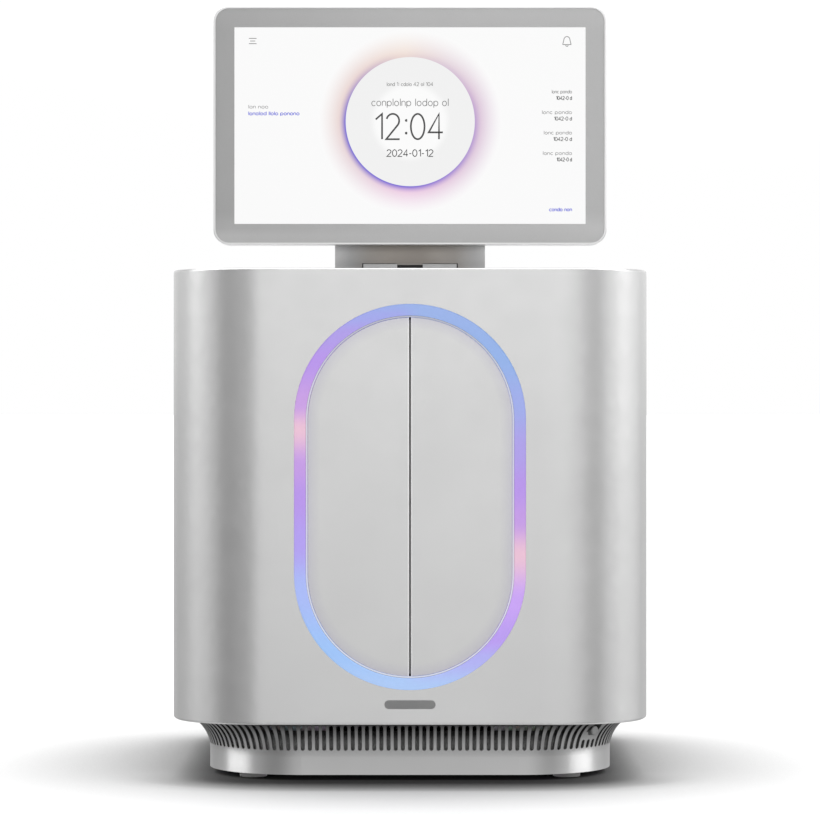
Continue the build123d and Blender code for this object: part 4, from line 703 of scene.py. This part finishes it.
def make_screen():
    """Everything that the lit page shows: a dial with a time and date, and lines of small marks."""
    page, ink = lit("page_white", PAGE_WHITE), lit("ink_grey", TEXT_GREY)
    dark, blue = lit("ink_dark", TEXT_DARK), lit("ink_blue", TEXT_BLUE)
    sheet_rectangle("screen_page", (-PAGE_HALF_X, PAGE_LOW), (PAGE_HALF_X, PAGE_HIGH), PAGE_FRONT, page)
    disc("screen_dial", DIAL_CENTRE, DIAL_GLOW_RADIUS, PAGE_FRONT - 1.4 * LAYER, dial_look())
    names, values = reading_lines(135.2)
    small = written("lond 1: cdolo 42 ol 104", (0.0, 579.6), 2.9, 38.6, "centre")
    small += written("lon noo", (-135.0, 560.8), 2.9, 16.2)
    ribbons("screen_small_marks", small + names, 0.42, INK_FRONT, ink)
    ribbons("screen_values", values, 0.5, INK_FRONT, dark)
    ribbons("screen_title", written("conplolnp lodop ol", (0.0, 562.9), 6.0, 64.0, "centre"), 0.62,
            INK_FRONT, ink)
    ribbons("screen_icons", menu_icon((-131.5, 617.1)) + bell_icon((131.2, 617.0), 8.0), 0.62, INK_FRONT, ink)
    ribbons("screen_time", written("12:04", (-1.0, 535.0), 21.2, 57.0, "centre"), 1.5, INK_FRONT, dark)
    ribbons("screen_date", written("2024-01-12", (0.0, 520.6), 5.6, 38.6, "centre"), 0.75, INK_FRONT, dark)
    links = written("lonolod llolo ponono", (-135.0, 555.2), 2.9, 42.3)
    links += written("condo non", (135.2, 474.9), 2.9, 18.6, "right")
    ribbons("screen_links", links, 0.55, INK_FRONT, blue)


# ---------------------------------------------------------------- stage, light and camera

FLOOR_HALF = 40.0
# The floor is painted darker next to the instrument as its shadow, most of all in front of it.
CONTACT_REACH = 0.24
FRONT_REACH = 0.08
FRONT_FACING = (0.0, 0.85, 0.53)
FRONT_SPAN = (-0.13, -0.23)


def make_floor():
    """Plain pale floor with a painted shadow next to the instrument, deepest in front of it."""
    mesh = bpy.data.meshes.new("floor")
    corners = [(x * FLOOR_HALF, y * FLOOR_HALF, 0.0) for x, y in ((-1, -1), (1, -1), (1, 1), (-1, 1))]
    mesh.from_pydata(corners, [], [(0, 1, 2, 3)])
    floor = bpy.data.objects.new("floor", mesh)
    bpy.context.scene.collection.objects.link(floor)
    look = Look("floor_white", Roughness=0.9, Specular_IOR_Level=0.0)
    # painted shadow: the floor's colour darkened by occlusion close to the instrument, and more in front of
    # it
    contact = look.occlusion(CONTACT_REACH, (0.0, 0.0, 1.0))
    behind = look.math("POWER", look.occlusion(FRONT_REACH, FRONT_FACING), 1.3)
    in_front = look.span(look.axis("Y"), *FRONT_SPAN, smooth=True)
    darker = look.math("ADD", look.math("MULTIPLY", look.math("SUBTRACT", behind, 1.0), in_front), 1.0)
    painted_floor_shadow = look.math("MULTIPLY", look.math("POWER", contact, 0.9), darker)
    pale = look.ramp(look.noise(3.0), [(0.3, grey(0.92)), (0.7, grey(0.94))])
    look.colour(look.mix(painted_floor_shadow, grey(0.01), pale))
    mesh.materials.append(look.material)
    floor.visible_glossy = False


# Brightness of the surroundings at the horizon: (degrees round from the front, level).
AROUND = [(-180, 0.75), (-140, 0.62), (-115, 0.70), (-92, 0.86), (-70, 0.80), (-54, 0.58), (-41, 0.39),
          (-29, 0.37), (-18, 0.58), (-6, 0.94), (2, 1.0), (12, 1.02), (24, 0.84), (34, 0.60), (46, 0.58),
          (60, 0.88), (84, 1.05), (112, 1.02), (140, 0.75), (180, 0.75)]
# Brightness against height: (sine of the elevation, level).
ABOVE = [(-1.0, 0.95), (-0.6, 0.85), (-0.4, 0.66), (-0.12, 0.79), (-0.015, 0.88), (0.02, 1.27),
         (0.14, 1.46), (0.3, 1.2), (0.6, 1.0), (1.0, 1.0)]
# Two tall softboxes, one to each side: (degrees round, level) and (sine of the elevation, level).
SOFTBOX_AROUND = [(-180, 0.0), (-112, 0.0), (-98, 1.2), (-86, 1.2), (-72, 0.0), (72, 0.0), (86, 1.2),
                  (98, 1.2), (112, 0.0), (180, 0.0)]
SOFTBOX_ABOVE = [(-1.0, 0.0), (0.04, 0.0), (0.16, 1.0), (0.75, 1.0), (0.9, 0.0), (1.0, 0.0)]
RAMP_TOP = 1.5                          # level at which a ramp is white
DIFFUSE_SHARE = 0.5                     # how much of the surroundings' light reaches dull surfaces


def world_ramp(tree, factor, stops, low, high):
    """A grey ramp through (place, level) stops in the world's nodes."""
    scale = tree.nodes.new("ShaderNodeMapRange")
    scale.inputs["From Min"].default_value = low
    scale.inputs["From Max"].default_value = high
    tree.links.new(factor, scale.inputs["Value"])
    ramp = tree.nodes.new("ShaderNodeValToRGB")
    elements = ramp.color_ramp.elements
    while len(elements) < len(stops):
        elements.new(0.5)
    for element, (place, level) in zip(elements, stops):
        element.position = (place - low) / (high - low)
        element.color = (level / RAMP_TOP,) * 3 + (1.0,)
    tree.links.new(scale.outputs[0], ramp.inputs["Fac"])
    return ramp.outputs["Color"]


def world_math(tree, operation, a, b):
    """A Math node on two values, each a number or a socket."""
    node = tree.nodes.new("ShaderNodeMath")
    node.operation = operation
    for socket, value in zip(node.inputs, (a, b)):
        if isinstance(value, float):
            socket.default_value = value
        else:
            tree.links.new(value, socket)
    return node.outputs[0]


def make_world():
    """Soft studio surroundings, white behind, with a darker stretch to each side of the front."""
    world = bpy.data.worlds.new("studio")
    world.use_nodes = True
    bpy.context.scene.world = world
    tree = world.node_tree
    axes = tree.nodes.new("ShaderNodeSeparateXYZ")
    tree.links.new(tree.nodes.new("ShaderNodeTexCoord").outputs["Generated"], axes.inputs["Vector"])
    towards = world_math(tree, "MULTIPLY", axes.outputs["Y"], -1.0)
    azimuth = world_math(tree, "ARCTAN2", axes.outputs["X"], towards)
    turns = world_math(tree, "MULTIPLY", azimuth, 180.0 / math.pi)
    around = world_ramp(tree, turns, AROUND, -180.0, 180.0)
    above = world_ramp(tree, axes.outputs["Z"], ABOVE, -1.0, 1.0)
    boxes = world_math(tree, "MULTIPLY", world_ramp(tree, turns, SOFTBOX_AROUND, -180.0, 180.0),
                       world_ramp(tree, axes.outputs["Z"], SOFTBOX_ABOVE, -1.0, 1.0))
    level = world_math(tree, "ADD", world_math(tree, "MULTIPLY", around, above), boxes)
    level = world_math(tree, "MULTIPLY", level, RAMP_TOP * RAMP_TOP)
    rays = tree.nodes.new("ShaderNodeLightPath")
    dimmer = world_math(tree, "MULTIPLY", rays.outputs["Is Diffuse Ray"], 1.0 - DIFFUSE_SHARE)
    level = world_math(tree, "MULTIPLY", level, world_math(tree, "SUBTRACT", 1.0, dimmer))
    seen = world_math(tree, "MAXIMUM", level, rays.outputs["Is Camera Ray"])
    tree.links.new(seen, tree.nodes["Background"].inputs["Color"])


OVERHEAD_POWER = 2.9                    # watts per square metre
OVERHEAD_SPREAD = 75                    # degrees
OVERHEAD_TILT = -16                     # degrees
KICKER_SIZE = (0.12, 0.026)
KICKER_POWER = 0.018                    # watts
KICKER_PLACE = (0.30, -0.1875, -0.001)  # metres; the left one mirrors it


def make_overhead():
    """One very broad soft light from above."""
    data = bpy.data.lights.new("overhead", "SUN")
    data.energy = OVERHEAD_POWER
    data.angle = math.radians(OVERHEAD_SPREAD)
    light = bpy.data.objects.new("overhead", data)
    light.rotation_euler = (math.radians(OVERHEAD_TILT), 0.0, 0.0)
    bpy.context.scene.collection.objects.link(light)


def make_kickers():
    """Two low strips, one to each side, that light only the plinth's front corners."""
    lit_nodes = bpy.data.collections.new("kicker_lit")
    lit_nodes.objects.link(frame["nodes"]["base_plinth"])
    for side in (-1, 1):
        data = bpy.data.lights.new("kicker", "AREA")
        data.shape = "RECTANGLE"
        data.size, data.size_y = KICKER_SIZE
        data.energy = KICKER_POWER
        light = bpy.data.objects.new("kicker", data)
        light.location = (side * KICKER_PLACE[0], *KICKER_PLACE[1:])
        light.rotation_euler = (math.pi / 2, 0.0, side * math.pi / 2)
        light.visible_camera = False
        light.visible_diffuse = False
        light.light_linking.receiver_collection = lit_nodes
        bpy.context.scene.collection.objects.link(light)


CAMERA_DISTANCE = 2.974                 # from the front of the case
CAMERA_HEIGHT = 0.327
CAMERA_LENS = 158.45                    # millimetres, like the sensor
CAMERA_SENSOR = 36.0
CAMERA_SHIFT = -0.0232


def make_camera():
    """Level camera on the centre line, in front of the case."""
    data = bpy.data.cameras.new("camera")
    camera = bpy.data.objects.new("camera", data)
    data.sensor_width = CAMERA_SENSOR
    data.lens = CAMERA_LENS
    data.shift_y = CAMERA_SHIFT
    camera.location = (0.0, CAD_BOX[0].y - CAMERA_DISTANCE, CAMERA_HEIGHT)
    camera.rotation_euler = (math.pi / 2, 0.0, 0.0)
    bpy.context.scene.collection.objects.link(camera)
    bpy.context.scene.camera = camera


finish_cad_nodes()
make_screen()
make_floor()
make_world()
make_overhead()
make_kickers()
make_camera()
bpy.context.scene.view_settings.view_transform = "Standard"
